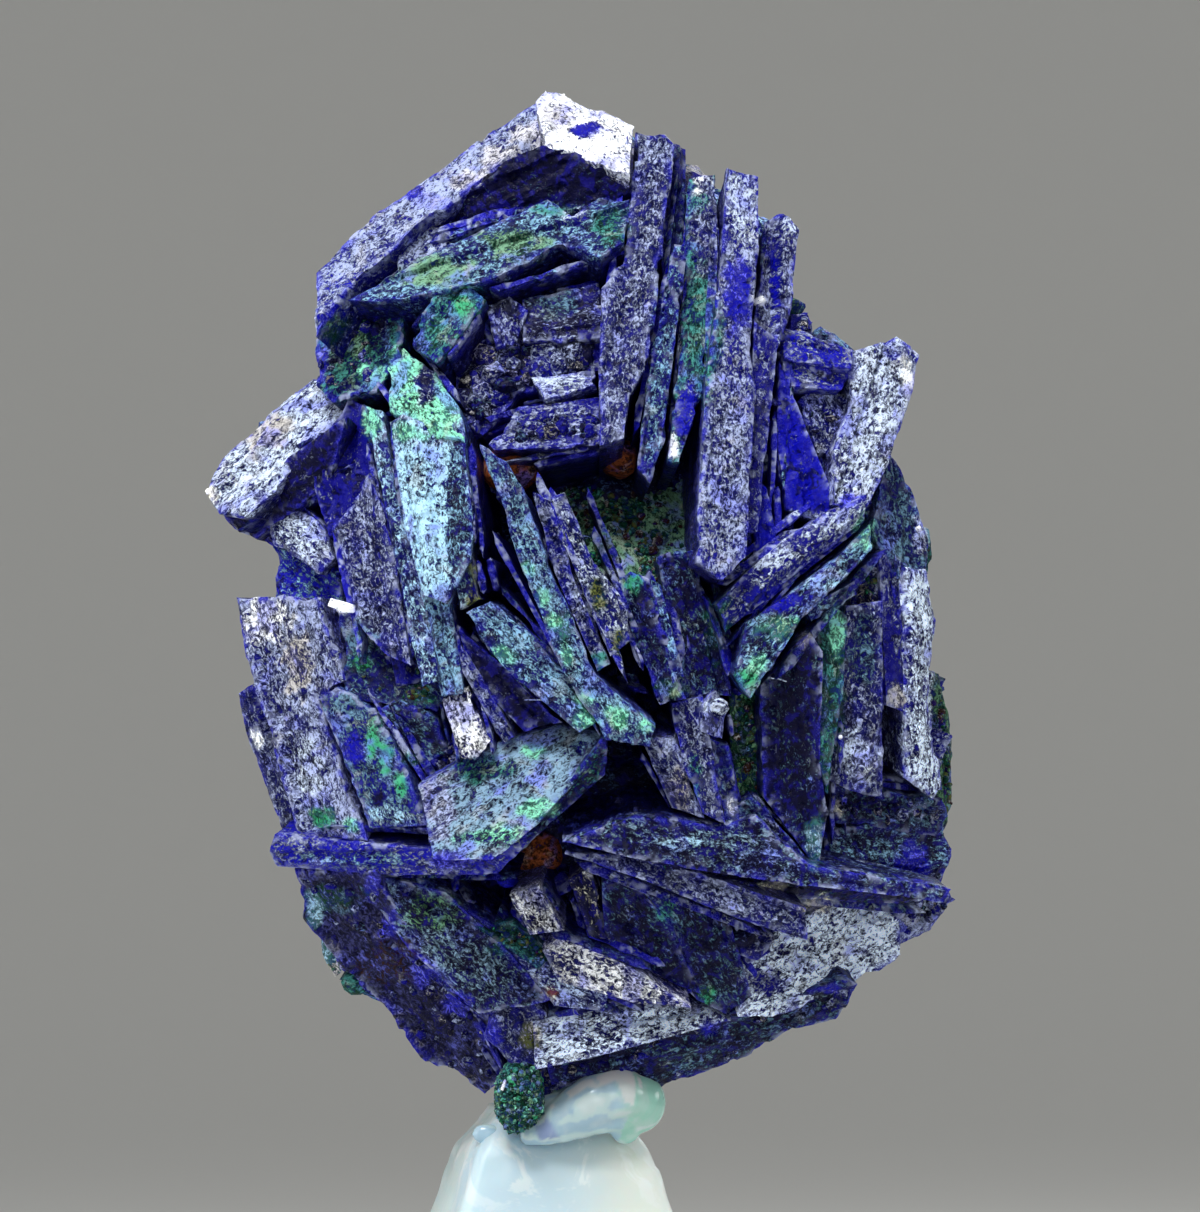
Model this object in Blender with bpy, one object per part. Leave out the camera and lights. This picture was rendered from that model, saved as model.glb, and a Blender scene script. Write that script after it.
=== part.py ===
"""Azurite and malachite crystal cluster, fixed with clear glue on a frosted stand.

Run with: blender --background --python part.py
Units are metres, +Z is up and the front of the specimen faces -Y. The origin is the middle of
the stand's foot. The blades' outlines are drawn on the front view in millimetres: across from the
left edge of the drawing, and down from its top.
"""

import math
import random

import bmesh
import bpy
from mathutils import Matrix, Vector

MM = 0.001

# The drawing of the front view, in millimetres
AXIS_ACROSS = 22.1          # the stand's axis, across the drawing
FOOT_DOWN = 60.5            # the stand's foot, down the drawing
MIDDLE = (24.0, 24.5)       # the middle of the cluster
HALF_WIDTH = 15.0
HALF_HEIGHT = 21.0

# The cluster bulges towards the front and the back
FRONT_SWELL = 10.0
REAR_SWELL = 9.4
SWELL_FALL = 0.75           # share of the swell that is lost at the rim
FACE_FOLLOW = 0.7           # how far a blade's outer face follows the bulge
GATHER_DEPTH = 20.0         # blades on one side run together towards a point this far behind
OUTLINE_SHAKE = 0.03        # keeps neighbours from sharing an edge

# Blades that the front view doesn't show
BOOK_STEP = 5.6             # spacing of the books of parallel blades over the back
BOOK_SHIFT = 0.3            # how far a book strays from its place, as a share of the spacing
BOOK_TURNS = (-0.9, -0.35, 0.1, 0.5, 1.2)       # radians
BOOK_TURN_SPREAD = 0.15
LEAF_COUNTS = (2, 3, 3)
LEAF_STEP = 1.6             # spacing of the blades in a book
LEAF_SHIFT = 1.5            # how far a blade slides along its book
REAR_SET_BACK = (-0.8, 1.2)
REAR_TURN = 0.25
BLADE_LENGTH = (6.5, 11.5)
BLADE_WIDTH = (1.1, 1.9)
BLADE_DEPTH = 6.5
LEAST_SLIMNESS = 1.7        # a blade shorter than this many widths is left out
SHORTEN_STEP = 0.5
RIM_BLADES = 24
RIM_LENGTH = (6.0, 9.0)
RIM_SLANT = 0.5
RIM_MIDDLE = (0.6, 2.0)     # depth of the middle of a rim blade
RIM_INSET = 0.5
RIM_INSET_STEP = 0.3
RIM_MOST_INSET = 4.0
RIM_DEPTH = 5.5
RIM_NARROWING = 0.75
RIM_LOWEST = 41.0           # no rim blades below this, where the stand begins

# Stand: a square block that narrows upwards, as its side at each height above its foot
STAND_SIDES = [(17.4, 0.0), (17.0, 0.9), (8.7, 12.0), (6.9, 14.7), (4.4, 16.3)]
STAND_TURN = 8.2                # degrees
STAND_CORNER = 0.35             # rounding of its upright edges
CLEARANCE = 0.34                # gap between the stand, the glue and the cluster

# Clean-up of the joined solids
MERGE = 0.006
FLAT_ANGLE = 2.0                # degrees

# Silhouette of the cluster in the front view, clockwise from the top
SILHOUETTE = [
    (21.8, 3.7), (24.0, 4.3), (25.4, 5.0), (26.6, 5.6), (28.5, 7.2), (30.3, 7.3), (31.9, 9.6),
    (31.7, 11.6), (32.6, 12.8), (33.9, 14.1), (35.8, 13.5), (36.7, 14.3), (35.6, 17.6),
    (37.0, 21.4), (37.4, 24.8), (38.0, 28.2), (38.2, 32.2), (37.8, 35.2), (38.3, 36.0),
    (37.2, 37.3), (35.9, 38.0), (33.4, 40.6), (29.8, 42.1), (26.4, 43.4), (24.0, 43.3),
    (21.8, 44.6), (20.0, 44.4), (16.0, 40.9), (13.6, 39.4), (13.0, 38.0), (12.2, 35.6),
    (10.9, 34.3), (10.7, 31.4), (9.6, 27.8), (10.2, 27.4), (9.6, 24.0), (11.0, 23.8),
    (11.0, 21.8), (9.9, 21.6), (8.3, 19.8), (9.0, 18.3), (12.7, 14.6), (12.8, 11.0),
    (15.1, 8.6), (20.0, 5.0),
]

# Blades of the front: how far the face is set back from the bulge, how deep the blade runs, how
# its face turns to the right and upwards, and its outline
FRONT_BLADES = {
    "roof band": (0.0, 9.0, 0.0, 0.5, [
        (12.8, 11.0), (15.1, 8.6), (17.5, 7.0), (20.0, 5.0), (21.6, 4.1), (21.9, 6.1),
        (20.3, 6.8), (17.2, 9.1), (14.4, 11.4), (12.8, 13.6)]),
    "roof cap": (-0.3, 7.0, 0.0, 0.8, [
        (21.4, 4.2), (21.8, 3.7), (24.0, 4.3), (25.4, 5.0), (25.2, 7.3), (23.0, 6.4), (21.7, 6.2)]),
    "roof underside": (1.2, 6.0, 0.0, -0.6, [
        (17.0, 8.9), (20.3, 6.5), (21.9, 5.9), (25.4, 7.2), (25.3, 8.6), (21.9, 8.8),
        (18.0, 10.7), (13.6, 13.0), (13.4, 12.3)]),
    "roof splinter": (0.2, 3.0, 0.2, 0.3, [
        (16.0, 10.2), (17.2, 9.1), (18.3, 9.8), (17.4, 10.5), (16.0, 11.0)]),
    "green roof blade": (-0.4, 6.0, 0.0, 0.35, [
        (14.0, 12.1), (17.6, 10.3), (20.0, 9.1), (21.9, 8.2), (22.9, 8.9), (24.0, 8.1),
        (25.2, 8.2), (25.0, 10.0), (24.0, 10.7), (22.4, 10.0), (20.0, 11.4), (16.5, 12.3)]),
    "green stub": (-1.2, 6.0, 0.2, 0.2, [
        (16.4, 13.8), (17.5, 11.9), (18.7, 11.3), (19.5, 12.2), (18.8, 13.4), (17.6, 14.7)]),
    "left shoulder": (0.0, 6.0, -0.2, 0.1, [
        (12.7, 13.4), (13.4, 12.5), (14.6, 12.2), (16.4, 12.4), (16.2, 14.4), (15.2, 15.8),
        (13.4, 16.2), (12.6, 15.3)]),
    "arm upper": (0.0, 5.0, 0.0, 0.6, [
        (12.6, 15.2), (10.7, 16.7), (9.0, 18.3), (8.3, 19.7), (9.0, 20.7), (10.0, 20.6),
        (12.2, 18.4), (14.2, 16.7), (13.8, 15.5)]),
    "arm lower": (0.2, 4.5, 0.0, -0.5, [
        (8.9, 20.5), (9.4, 21.2), (10.3, 21.6), (12.0, 20.4), (13.4, 19.2), (14.0, 16.8),
        (12.2, 18.0)]),
    "chip blade": (0.8, 5.0, -0.1, 0.3, [
        (10.9, 20.7), (12.0, 20.3), (13.0, 21.0), (13.5, 22.4), (12.9, 23.0), (10.9, 21.7)]),
    "left blue block": (1.5, 5.0, 0.0, 0.0, [
        (11.0, 21.4), (12.6, 21.9), (13.8, 22.8), (13.8, 24.6), (11.1, 24.0)]),
    "left blue flat": (0.6, 6.0, -0.3, 0.0, [
        (14.1, 16.0), (15.2, 16.6), (15.2, 20.8), (13.3, 21.6), (12.7, 18.6)]),
    "left speckled blade": (0.0, 7.0, -0.2, 0.1, [
        (14.9, 19.0), (15.9, 22.0), (16.6, 26.6), (15.6, 26.2), (14.4, 24.8), (13.9, 22.4),
        (13.5, 21.2)]),
    "left blue wall": (0.6, 7.0, 0.3, 0.0, [
        (15.0, 19.4), (16.0, 21.0), (17.2, 27.2), (16.0, 27.4), (15.2, 23.4)]),
    "green tipped blade": (-0.4, 7.0, 0.0, 0.1, [
        (14.6, 16.2), (15.4, 16.6), (16.1, 20.2), (16.9, 22.8), (17.7, 27.2), (17.0, 27.4),
        (16.1, 23.2), (15.2, 18.4)]),
    "vivid tip": (-0.8, 6.0, 0.0, 0.25, [
        (16.2, 14.0), (17.4, 14.9), (18.5, 16.4), (18.7, 17.8), (17.0, 17.6), (15.7, 16.6),
        (15.6, 14.9)]),
    "cyan blade": (-1.0, 7.0, 0.0, 0.1, [
        (15.7, 17.0), (16.3, 16.7), (17.9, 17.4), (18.6, 16.8), (19.0, 20.8), (18.9, 22.4),
        (18.0, 24.2), (17.0, 23.8), (16.2, 20.4)]),
    "cyan foot": (-0.5, 7.0, -0.1, 0.0, [
        (16.9, 23.2), (18.1, 23.8), (18.6, 27.7), (17.8, 27.8)]),
    "bright end": (-0.6, 5.0, 0.0, 0.3, [
        (17.8, 27.9), (18.8, 27.3), (19.2, 28.6), (19.7, 29.5), (19.1, 30.3), (18.6, 30.2)]),
    "olive chip": (-0.7, 6.0, 0.2, 0.0, [
        (18.0, 22.2), (19.1, 22.1), (19.4, 24.0), (18.5, 24.4)]),
    "long blade": (-1.2, 7.0, 0.15, 0.0, [
        (19.3, 17.9), (20.4, 18.6), (21.2, 20.0), (22.1, 22.8), (23.9, 26.9), (26.2, 29.0),
        (25.9, 29.7), (24.2, 29.5), (22.5, 26.8), (21.0, 22.9)]),
    "thin blade left": (-0.5, 7.0, 0.1, 0.0, [
        (21.4, 19.8), (22.1, 20.1), (23.0, 23.2), (24.4, 26.5), (23.9, 26.8), (22.2, 23.0)]),
    "thin blade right": (-0.2, 7.0, 0.1, 0.0, [
        (22.1, 20.0), (22.6, 19.8), (23.8, 22.6), (25.1, 24.3), (25.1, 25.6), (24.4, 26.2),
        (22.9, 22.6)]),
    "inner long blade": (-0.6, 6.0, 0.1, 0.3, [
        (18.7, 24.5), (19.7, 23.9), (21.4, 25.4), (24.1, 28.6), (23.2, 29.2), (20.2, 26.6)]),
    "inner sliver": (0.2, 6.0, 0.0, 0.0, [
        (18.4, 25.0), (20.8, 27.0), (22.6, 28.8), (21.0, 29.2), (18.9, 27.0)]),
    "inner rib": (0.0, 5.0, 0.1, 0.0, [
        (18.3, 25.4), (19.4, 27.0), (20.7, 29.4), (20.2, 29.7), (18.2, 26.2)]),
    "middle blue blade": (0.2, 7.0, -0.3, 0.0, [
        (24.6, 23.3), (25.2, 22.9), (26.0, 23.2), (26.8, 26.0), (27.4, 27.9), (26.3, 28.2),
        (25.2, 25.4)]),
    "middle pale strip": (-0.1, 7.0, 0.0, 0.1, [
        (25.9, 23.1), (26.4, 23.4), (27.3, 27.0), (26.8, 27.3)]),
    "olive blade": (0.7, 6.0, 0.2, 0.0, [
        (26.2, 22.3), (27.7, 22.0), (29.2, 26.4), (29.2, 27.8), (27.2, 27.8)]),
    "blue line": (0.3, 5.0, 0.2, 0.0, [
        (28.0, 23.8), (28.5, 24.2), (29.4, 26.7), (29.0, 27.0)]),
    "upper slab": (0.8, 6.0, 0.0, 0.2, [
        (20.9, 12.1), (24.0, 11.4), (24.4, 13.8), (20.9, 13.9)]),
    "upper oval": (0.4, 6.0, 0.0, 0.0, [
        (19.4, 12.4), (20.4, 12.0), (21.1, 12.6), (20.9, 14.0), (19.9, 14.1)]),
    "upper rubble": (1.4, 5.0, 0.0, 0.1, [
        (18.2, 14.2), (19.8, 13.4), (24.2, 13.5), (24.1, 15.0), (20.8, 16.0), (19.4, 17.6),
        (18.4, 16.8)]),
    "upper pale chip": (0.7, 5.0, 0.0, 0.4, [
        (21.2, 15.1), (23.8, 14.8), (23.9, 15.7), (21.8, 16.3)]),
    "cavity lip": (0.4, 6.0, 0.0, 0.5, [
        (19.6, 17.9), (20.7, 16.6), (24.1, 16.1), (24.1, 17.9), (19.8, 18.2)]),
    "cavity floor": (3.8, 4.0, 0.0, 0.9, [
        (22.2, 19.4), (28.0, 19.0), (28.0, 23.0), (25.6, 23.6), (23.4, 22.6)]),
    "column wide": (-0.4, 8.0, -0.1, 0.1, [
        (25.4, 5.5), (26.6, 5.6), (27.0, 6.0), (26.5, 10.0), (26.0, 14.4), (25.2, 16.0),
        (25.0, 17.8), (23.9, 18.0), (24.0, 11.8), (24.9, 10.6)]),
    "column wide flank": (0.4, 7.0, 0.5, 0.0, [
        (26.8, 5.9), (27.4, 6.1), (27.4, 8.4), (27.2, 11.0), (26.4, 14.0), (26.5, 9.0)]),
    "column slim": (0.1, 8.0, 0.0, 0.0, [
        (26.9, 9.9), (27.4, 10.1), (27.0, 14.0), (26.5, 17.8), (26.0, 19.4), (25.5, 18.8),
        (25.8, 15.4)]),
    "column green": (0.3, 8.0, 0.0, 0.1, [
        (27.5, 7.2), (28.6, 7.1), (28.8, 11.0), (28.0, 16.0), (27.1, 18.7), (26.6, 18.6),
        (27.1, 14.0)]),
    "column tall": (-0.6, 8.0, 0.0, 0.1, [
        (29.0, 6.9), (30.3, 7.3), (30.3, 9.6), (29.9, 13.6), (30.1, 16.0), (29.7, 22.4),
        (28.8, 23.3), (27.7, 22.6), (28.1, 16.0), (28.8, 10.4)]),
    "column right": (0.2, 8.0, 0.1, 0.1, [
        (30.7, 8.9), (31.2, 8.6), (31.9, 9.4), (31.6, 12.0), (31.0, 14.1), (30.2, 13.0)]),
    "column low": (0.1, 7.0, 0.1, 0.0, [
        (30.0, 12.9), (31.1, 13.8), (30.8, 16.4), (30.2, 21.4), (29.7, 21.4)]),
    "bar upper": (0.2, 5.0, 0.0, 0.4, [
        (31.1, 13.2), (32.0, 13.3), (34.0, 14.1), (34.0, 15.0), (31.2, 14.5)]),
    "bar lower": (0.5, 5.0, 0.0, 0.1, [
        (31.1, 14.4), (34.0, 14.9), (33.5, 15.8), (31.3, 15.6)]),
    "knob high": (0.9, 4.0, 0.0, 0.2, [
        (31.5, 12.7), (32.3, 12.5), (32.6, 13.1), (32.3, 13.8), (31.4, 13.8)]),
    "knob low": (1.0, 4.0, 0.0, 0.2, [
        (31.8, 16.2), (32.6, 15.5), (33.8, 15.9), (34.0, 18.0), (32.6, 18.4)]),
    "wing": (-0.3, 6.0, 0.1, 0.2, [
        (34.0, 14.1), (35.8, 13.5), (36.7, 14.3), (36.4, 15.6), (35.2, 19.0), (34.4, 20.6),
        (33.2, 20.2), (33.2, 18.0), (34.0, 16.0)]),
    "blue wedge": (0.6, 5.0, -0.2, 0.0, [
        (31.1, 14.6), (32.0, 17.0), (33.3, 20.2), (32.6, 20.8), (31.4, 20.4), (31.0, 18.0)]),
    "blue wedge low": (0.6, 5.0, -0.2, 0.0, [
        (30.0, 19.2), (30.6, 19.6), (31.1, 22.2), (30.0, 22.8)]),
    "upper diagonal": (-0.4, 6.0, 0.0, 0.1, [
        (31.0, 21.8), (32.8, 20.6), (34.5, 19.8), (34.5, 20.8), (32.0, 22.8), (29.0, 25.2),
        (28.5, 24.2), (29.6, 23.0)]),
    "lower diagonal": (-0.7, 6.0, 0.0, 0.2, [
        (34.7, 21.0), (32.5, 23.0), (29.7, 24.9), (29.2, 27.0), (29.9, 27.9), (32.0, 24.8),
        (34.7, 22.0)]),
    "diagonal sliver": (-0.2, 4.0, 0.0, 0.1, [
        (32.0, 24.3), (34.0, 23.2), (34.2, 23.8), (32.3, 24.9)]),
    "right slab high": (0.3, 6.0, 0.1, 0.1, [
        (35.4, 17.8), (36.2, 19.4), (37.0, 21.6), (37.0, 23.0), (35.6, 23.2), (34.6, 21.2),
        (35.2, 19.0)]),
    "right slab pale": (-0.2, 7.0, 0.1, 0.0, [
        (35.9, 22.6), (37.0, 22.8), (37.4, 24.8), (37.0, 28.0), (37.8, 31.6), (37.2, 32.0),
        (36.1, 31.0), (36.0, 26.0)]),
    "right slab violet": (0.2, 7.0, 0.0, 0.0, [
        (34.9, 22.0), (36.2, 22.6), (36.2, 28.5), (35.3, 28.2)]),
    "right slab inner": (0.0, 7.0, -0.1, 0.0, [
        (33.7, 24.2), (35.1, 24.0), (35.2, 31.8), (33.9, 31.6), (32.8, 31.0), (33.4, 27.0)]),
    "right rubble": (0.8, 6.0, 0.0, 0.0, [
        (33.4, 23.0), (35.0, 21.4), (35.6, 22.8), (35.3, 25.2), (33.4, 25.0)]),
    "right foot": (0.4, 6.0, 0.0, -0.1, [
        (33.1, 31.2), (35.2, 31.6), (37.6, 31.8), (37.9, 32.6), (37.3, 33.4), (33.2, 32.8)]),
    "right green edge": (1.6, 5.0, 0.3, 0.0, [
        (36.9, 26.8), (37.6, 26.9), (38.1, 29.0), (38.2, 32.2), (37.5, 33.4), (36.9, 31.0)]),
    "right green knob": (1.2, 4.0, 0.3, 0.0, [
        (36.5, 20.8), (37.1, 21.2), (37.3, 22.4), (36.8, 23.2), (36.2, 22.0)]),
    "dark pointed blade": (-0.2, 7.0, -0.1, 0.0, [
        (30.3, 27.4), (32.3, 25.1), (32.7, 26.0), (32.7, 30.4), (33.0, 32.4), (32.6, 34.7),
        (30.4, 31.8)]),
    "green strip": (0.0, 7.0, 0.0, 0.1, [
        (32.6, 24.5), (33.1, 24.1), (33.7, 24.6), (33.6, 27.2), (33.0, 31.6), (32.6, 30.4)]),
    "green hollow": (1.5, 5.0, 0.0, 0.0, [
        (29.0, 27.4), (30.6, 27.6), (30.7, 32.2), (29.2, 31.8)]),
    "centre rib": (0.0, 6.0, 0.0, 0.1, [
        (26.8, 28.0), (28.0, 27.7), (28.4, 29.8), (29.0, 32.9), (28.0, 32.4), (27.2, 30.4)]),
    "centre knob": (-0.2, 5.0, 0.0, 0.1, [
        (27.8, 28.0), (28.6, 27.5), (29.2, 28.4), (28.8, 29.5), (27.9, 29.2)]),
    "centre rib right": (0.1, 5.0, 0.1, 0.0, [
        (28.1, 29.3), (29.0, 29.7), (29.5, 32.7), (28.9, 32.9)]),
    "centre rib low": (0.3, 6.0, 0.0, 0.0, [
        (25.5, 29.3), (26.9, 29.4), (28.1, 32.6), (26.8, 32.2)]),
    "great plate": (-0.9, 3.5, 0.0, 0.7, [
        (16.9, 31.2), (19.2, 29.8), (22.4, 28.8), (24.2, 29.2), (23.0, 31.2), (21.4, 33.0),
        (19.8, 34.2), (17.5, 34.2)]),
    "great plate edge": (-0.3, 5.0, 0.2, -0.5, [
        (24.3, 29.2), (24.2, 30.9), (22.0, 32.9), (19.9, 34.8), (19.0, 34.7), (21.2, 32.9)]),
    "blue ledge": (-0.9, 7.0, 0.0, 0.0, [
        (11.2, 33.2), (14.0, 33.5), (18.0, 33.8), (21.7, 33.0), (19.9, 34.8), (16.0, 34.9),
        (11.2, 34.6), (10.9, 34.0)]),
    "left slab": (0.0, 6.0, -0.1, 0.1, [
        (9.6, 23.9), (10.2, 23.7), (13.0, 23.9), (14.1, 27.2), (13.0, 28.0), (14.8, 33.5),
        (12.1, 33.4), (11.2, 30.4), (10.0, 26.4)]),
    "left outer slab": (1.2, 5.0, -0.2, 0.0, [
        (9.6, 27.7), (10.2, 27.3), (11.4, 30.4), (12.3, 33.6), (11.4, 33.4), (10.0, 29.6)]),
    "left streaked slab": (-0.5, 6.0, 0.0, 0.1, [
        (12.9, 27.8), (13.6, 27.4), (15.2, 28.2), (16.5, 31.0), (17.3, 32.9), (15.0, 33.0)]),
    "small dark blade": (0.3, 6.0, 0.0, 0.0, [
        (15.1, 28.4), (16.2, 27.9), (17.6, 28.6), (18.0, 30.0), (17.0, 30.5), (16.0, 30.5)]),
    "small blue shards": (0.7, 5.0, 0.0, 0.2, [
        (16.9, 30.0), (18.7, 29.3), (19.0, 30.4), (17.2, 31.2)]),
    "moss ledge": (0.9, 6.0, 0.0, 0.3, [
        (13.6, 24.4), (15.4, 24.6), (18.0, 27.4), (17.6, 28.4), (14.0, 28.0)]),
    "fan plate": (-1.2, 3.0, 0.0, 0.45, [
        (22.5, 33.4), (25.4, 32.4), (28.8, 32.8), (30.2, 32.4), (32.2, 34.4), (37.8, 35.4),
        (37.5, 35.9), (30.4, 35.0), (26.0, 34.2)]),
    "fan wedge": (-0.2, 6.0, 0.0, 0.2, [
        (29.2, 32.2), (30.0, 31.7), (32.6, 34.6), (30.4, 33.8)]),
    "fan underside": (-0.5, 6.0, 0.0, -0.3, [
        (25.4, 33.9), (30.0, 34.6), (35.2, 35.5), (37.7, 35.6), (36.0, 36.1), (31.8, 35.9),
        (26.8, 34.9)]),
    "long strip": (-1.0, 6.0, 0.0, 0.0, [
        (22.6, 33.9), (25.6, 34.0), (32.1, 36.1), (32.1, 37.3), (29.8, 36.6), (25.4, 34.8)]),
    "right lower block": (0.2, 7.0, 0.0, 0.1, [
        (32.9, 33.2), (34.4, 32.8), (37.6, 33.2), (38.0, 33.9), (37.6, 35.5), (32.8, 35.2)]),
    "lower pale left": (0.0, 5.0, 0.0, 0.7, [
        (21.3, 40.7), (24.0, 39.9), (27.4, 40.0), (29.2, 40.6), (24.4, 41.9), (21.5, 42.5)]),
    "lower pale right": (0.2, 6.0, 0.0, 0.5, [
        (29.8, 37.2), (32.2, 35.8), (35.9, 35.8), (36.0, 38.1), (33.8, 39.5), (30.8, 40.5),
        (29.4, 40.5)]),
    "right corner lump": (0.8, 6.0, 0.2, 0.2, [
        (35.8, 35.6), (38.0, 35.4), (38.3, 36.0), (37.2, 37.3), (35.8, 37.8)]),
    "lower dark edge": (0.3, 6.0, 0.0, -0.5, [
        (21.7, 42.0), (28.8, 40.4), (33.8, 39.1), (34.3, 39.3), (33.4, 40.6), (31.4, 41.1),
        (29.8, 42.1), (26.4, 43.4), (22.0, 43.3)]),
    "ring knob": (-0.3, 5.0, 0.0, 0.2, [
        (29.3, 37.2), (30.1, 36.7), (30.9, 37.4), (30.2, 38.2), (29.5, 38.0)]),
    "lower left plate": (0.6, 6.0, -0.3, -0.5, [
        (11.9, 34.6), (12.4, 36.4), (13.8, 38.2), (15.7, 40.2), (16.6, 41.7), (19.4, 43.7),
        (20.3, 43.0), (19.6, 40.2), (17.0, 38.0), (15.2, 34.7)]),
    "cream chip high": (0.6, 4.0, -0.2, 0.3, [
        (12.2, 35.4), (13.0, 35.6), (13.1, 36.4), (12.4, 36.5)]),
    "cream chip low": (0.5, 4.0, -0.2, 0.3, [
        (12.9, 37.2), (13.7, 37.6), (14.0, 38.4), (13.4, 39.0), (13.0, 38.2)]),
    "green chip low": (0.8, 4.0, -0.2, -0.2, [
        (13.5, 39.2), (14.2, 38.5), (15.6, 39.6), (15.2, 40.0)]),
    "lower left speckled": (0.0, 6.0, 0.0, 0.1, [
        (15.0, 34.8), (17.9, 35.5), (20.4, 38.0), (22.0, 39.8), (19.2, 40.3), (16.4, 37.8),
        (15.2, 36.2)]),
    "white blade": (0.2, 5.0, 0.0, 0.3, [
        (20.4, 35.6), (21.6, 35.2), (22.6, 37.0), (21.2, 37.2)]),
    "lower green patch": (0.4, 5.0, 0.0, 0.4, [
        (19.0, 36.9), (20.6, 36.6), (22.2, 38.0), (21.6, 38.6)]),
    "white plate": (-0.3, 5.0, 0.0, 0.5, [
        (21.7, 37.8), (22.6, 37.3), (25.2, 38.4), (27.6, 40.1), (25.4, 39.8), (22.4, 39.0)]),
    "striated plate": (0.0, 5.0, 0.0, 0.3, [
        (20.5, 37.9), (21.6, 38.2), (24.4, 39.4), (24.2, 40.2), (22.2, 40.0)]),
    "lower dark blade": (0.3, 6.0, 0.0, 0.0, [
        (24.0, 35.0), (25.2, 34.7), (26.8, 36.6), (28.1, 39.6), (26.0, 38.8), (24.2, 37.4)]),
    "lower grey blade": (-0.1, 6.0, 0.0, 0.0, [
        (24.9, 34.6), (27.0, 35.0), (29.2, 36.8), (30.0, 39.6), (29.0, 40.4), (27.8, 39.8),
        (26.8, 36.8)]),
    "cream moss blade": (0.8, 5.0, 0.0, 0.1, [
        (22.7, 35.0), (23.6, 34.4), (24.5, 37.4), (23.6, 37.4)]),
    "lower dark block": (-0.3, 6.0, 0.0, 0.0, [
        (19.6, 39.4), (20.4, 39.2), (21.9, 40.4), (21.9, 42.5), (20.4, 42.3), (19.4, 41.2)]),
    "block by the glue": (0.2, 4.0, 0.0, 0.0, [
        (21.6, 42.2), (22.6, 42.4), (22.8, 43.3), (21.7, 43.7)]),
}

# Rounded masses: middle across, middle down, depth, and half sizes
CORE_LUMPS = [
    (24.0, 13.4, 1.0, 7.0, 5.6, 7.6),
    (24.4, 23.6, 1.0, 10.6, 6.0, 8.6),
    (24.0, 32.4, 0.8, 10.8, 5.6, 6.8),
    (24.0, 38.6, 0.4, 6.4, 4.6, 4.4),
]
SMALL_LUMPS = [
    (20.5, 18.8, -6.2, 1.1, 1.4, 0.9),
    (24.8, 18.4, -6.0, 0.8, 1.4, 0.8),
    (21.6, 34.0, -5.4, 1.4, 1.5, 1.2),
    (14.5, 26.6, -4.4, 0.9, 1.2, 0.5),
    (17.0, 27.7, -6.3, 0.9, 1.2, 0.5),
    (29.2, 22.4, -6.6, 1.5, 1.4, 1.0),
]
MALACHITE_BALL = (20.8, 43.6, -4.5, 1.05, 1.1, 1.55)
SMALL_LUMP_SIZE = 1.52      # a mass whose half sizes are all under this gets fewer faces

# The glue: a pad under the cluster, and a bead over the stand's front edge, with its radii
GLUE_PAD = (22.9, 43.9, -0.9, 3.0, 2.9, 0.6)
GLUE_BEAD = [
    (21.1, 45.35, -3.9, 0.5), (21.9, 45.1, -3.9, 0.7), (22.9, 44.6, -3.8, 0.95),
    (23.9, 44.15, -3.6, 1.1), (24.8, 43.95, -3.3, 1.15), (25.4, 44.1, -2.9, 1.05),
]
GLUE_DROP = (25.0, 45.0, -3.3, 0.6, 0.6, 0.6)


def place(across, down, depth):
    """Point of the drawing, at a depth behind the stand's axis, in metres."""
    return Vector(((across - AXIS_ACROSS) * MM, depth * MM, (FOOT_DOWN - down) * MM))


def swell(across, down):
    """How far the bulge stands out here, as a share of its height in the middle."""
    beside = (across - MIDDLE[0]) / HALF_WIDTH
    below = (down - MIDDLE[1]) / HALF_HEIGHT
    return 1.0 - SWELL_FALL * (beside ** 2 + below ** 2)


def swell_slope(across, down):
    """Change of the swell for each millimetre to the right and for each one upwards."""
    to_right = -2.0 * SWELL_FALL * (across - MIDDLE[0]) / HALF_WIDTH ** 2
    upwards = 2.0 * SWELL_FALL * (down - MIDDLE[1]) / HALF_HEIGHT ** 2
    return to_right, upwards


def inside(across, down):
    """Whether a point of the drawing lies within the silhouette."""
    within = False
    last = SILHOUETTE[-1]
    for point in SILHOUETTE:
        if (point[1] > down) != (last[1] > down):
            share = (down - point[1]) / (last[1] - point[1])
            if across < point[0] + share * (last[0] - point[0]):
                within = not within
        last = point
    return within


def middle_of(outline):
    across = sum(point[0] for point in outline) / len(outline)
    down = sum(point[1] for point in outline) / len(outline)
    return across, down


def blade_ends(outline, side, height, set_back, depth, turn_right, turn_up):
    """Outer and inner outlines of a blade, as points in the drawing's millimetres.

    side is -1 for the front of the cluster and 1 for its back.
    """
    across, down = middle_of(outline)
    to_right, upwards = swell_slope(across, down)
    face = side * (height * swell(across, down) - set_back)
    slope_right = side * height * to_right * FACE_FOLLOW + turn_right
    slope_up = side * height * upwards * FACE_FOLLOW + turn_up
    outer = []
    inner = []
    for u, v in outline:
        start = face + slope_right * (u - across) - slope_up * (v - down)
        end = face - side * depth
        share = (GATHER_DEPTH + side * end) / (GATHER_DEPTH + side * start)
        outer.append((u, v, start))
        inner.append((MIDDLE[0] + (u - MIDDLE[0]) * share, MIDDLE[1] + (v - MIDDLE[1]) * share, end))
    return outer, inner


def shaken(outline, chance):
    """The outline with each point moved by a hair."""
    return [(u + chance.uniform(-OUTLINE_SHAKE, OUTLINE_SHAKE),
             v + chance.uniform(-OUTLINE_SHAKE, OUTLINE_SHAKE)) for u, v in outline]


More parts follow.
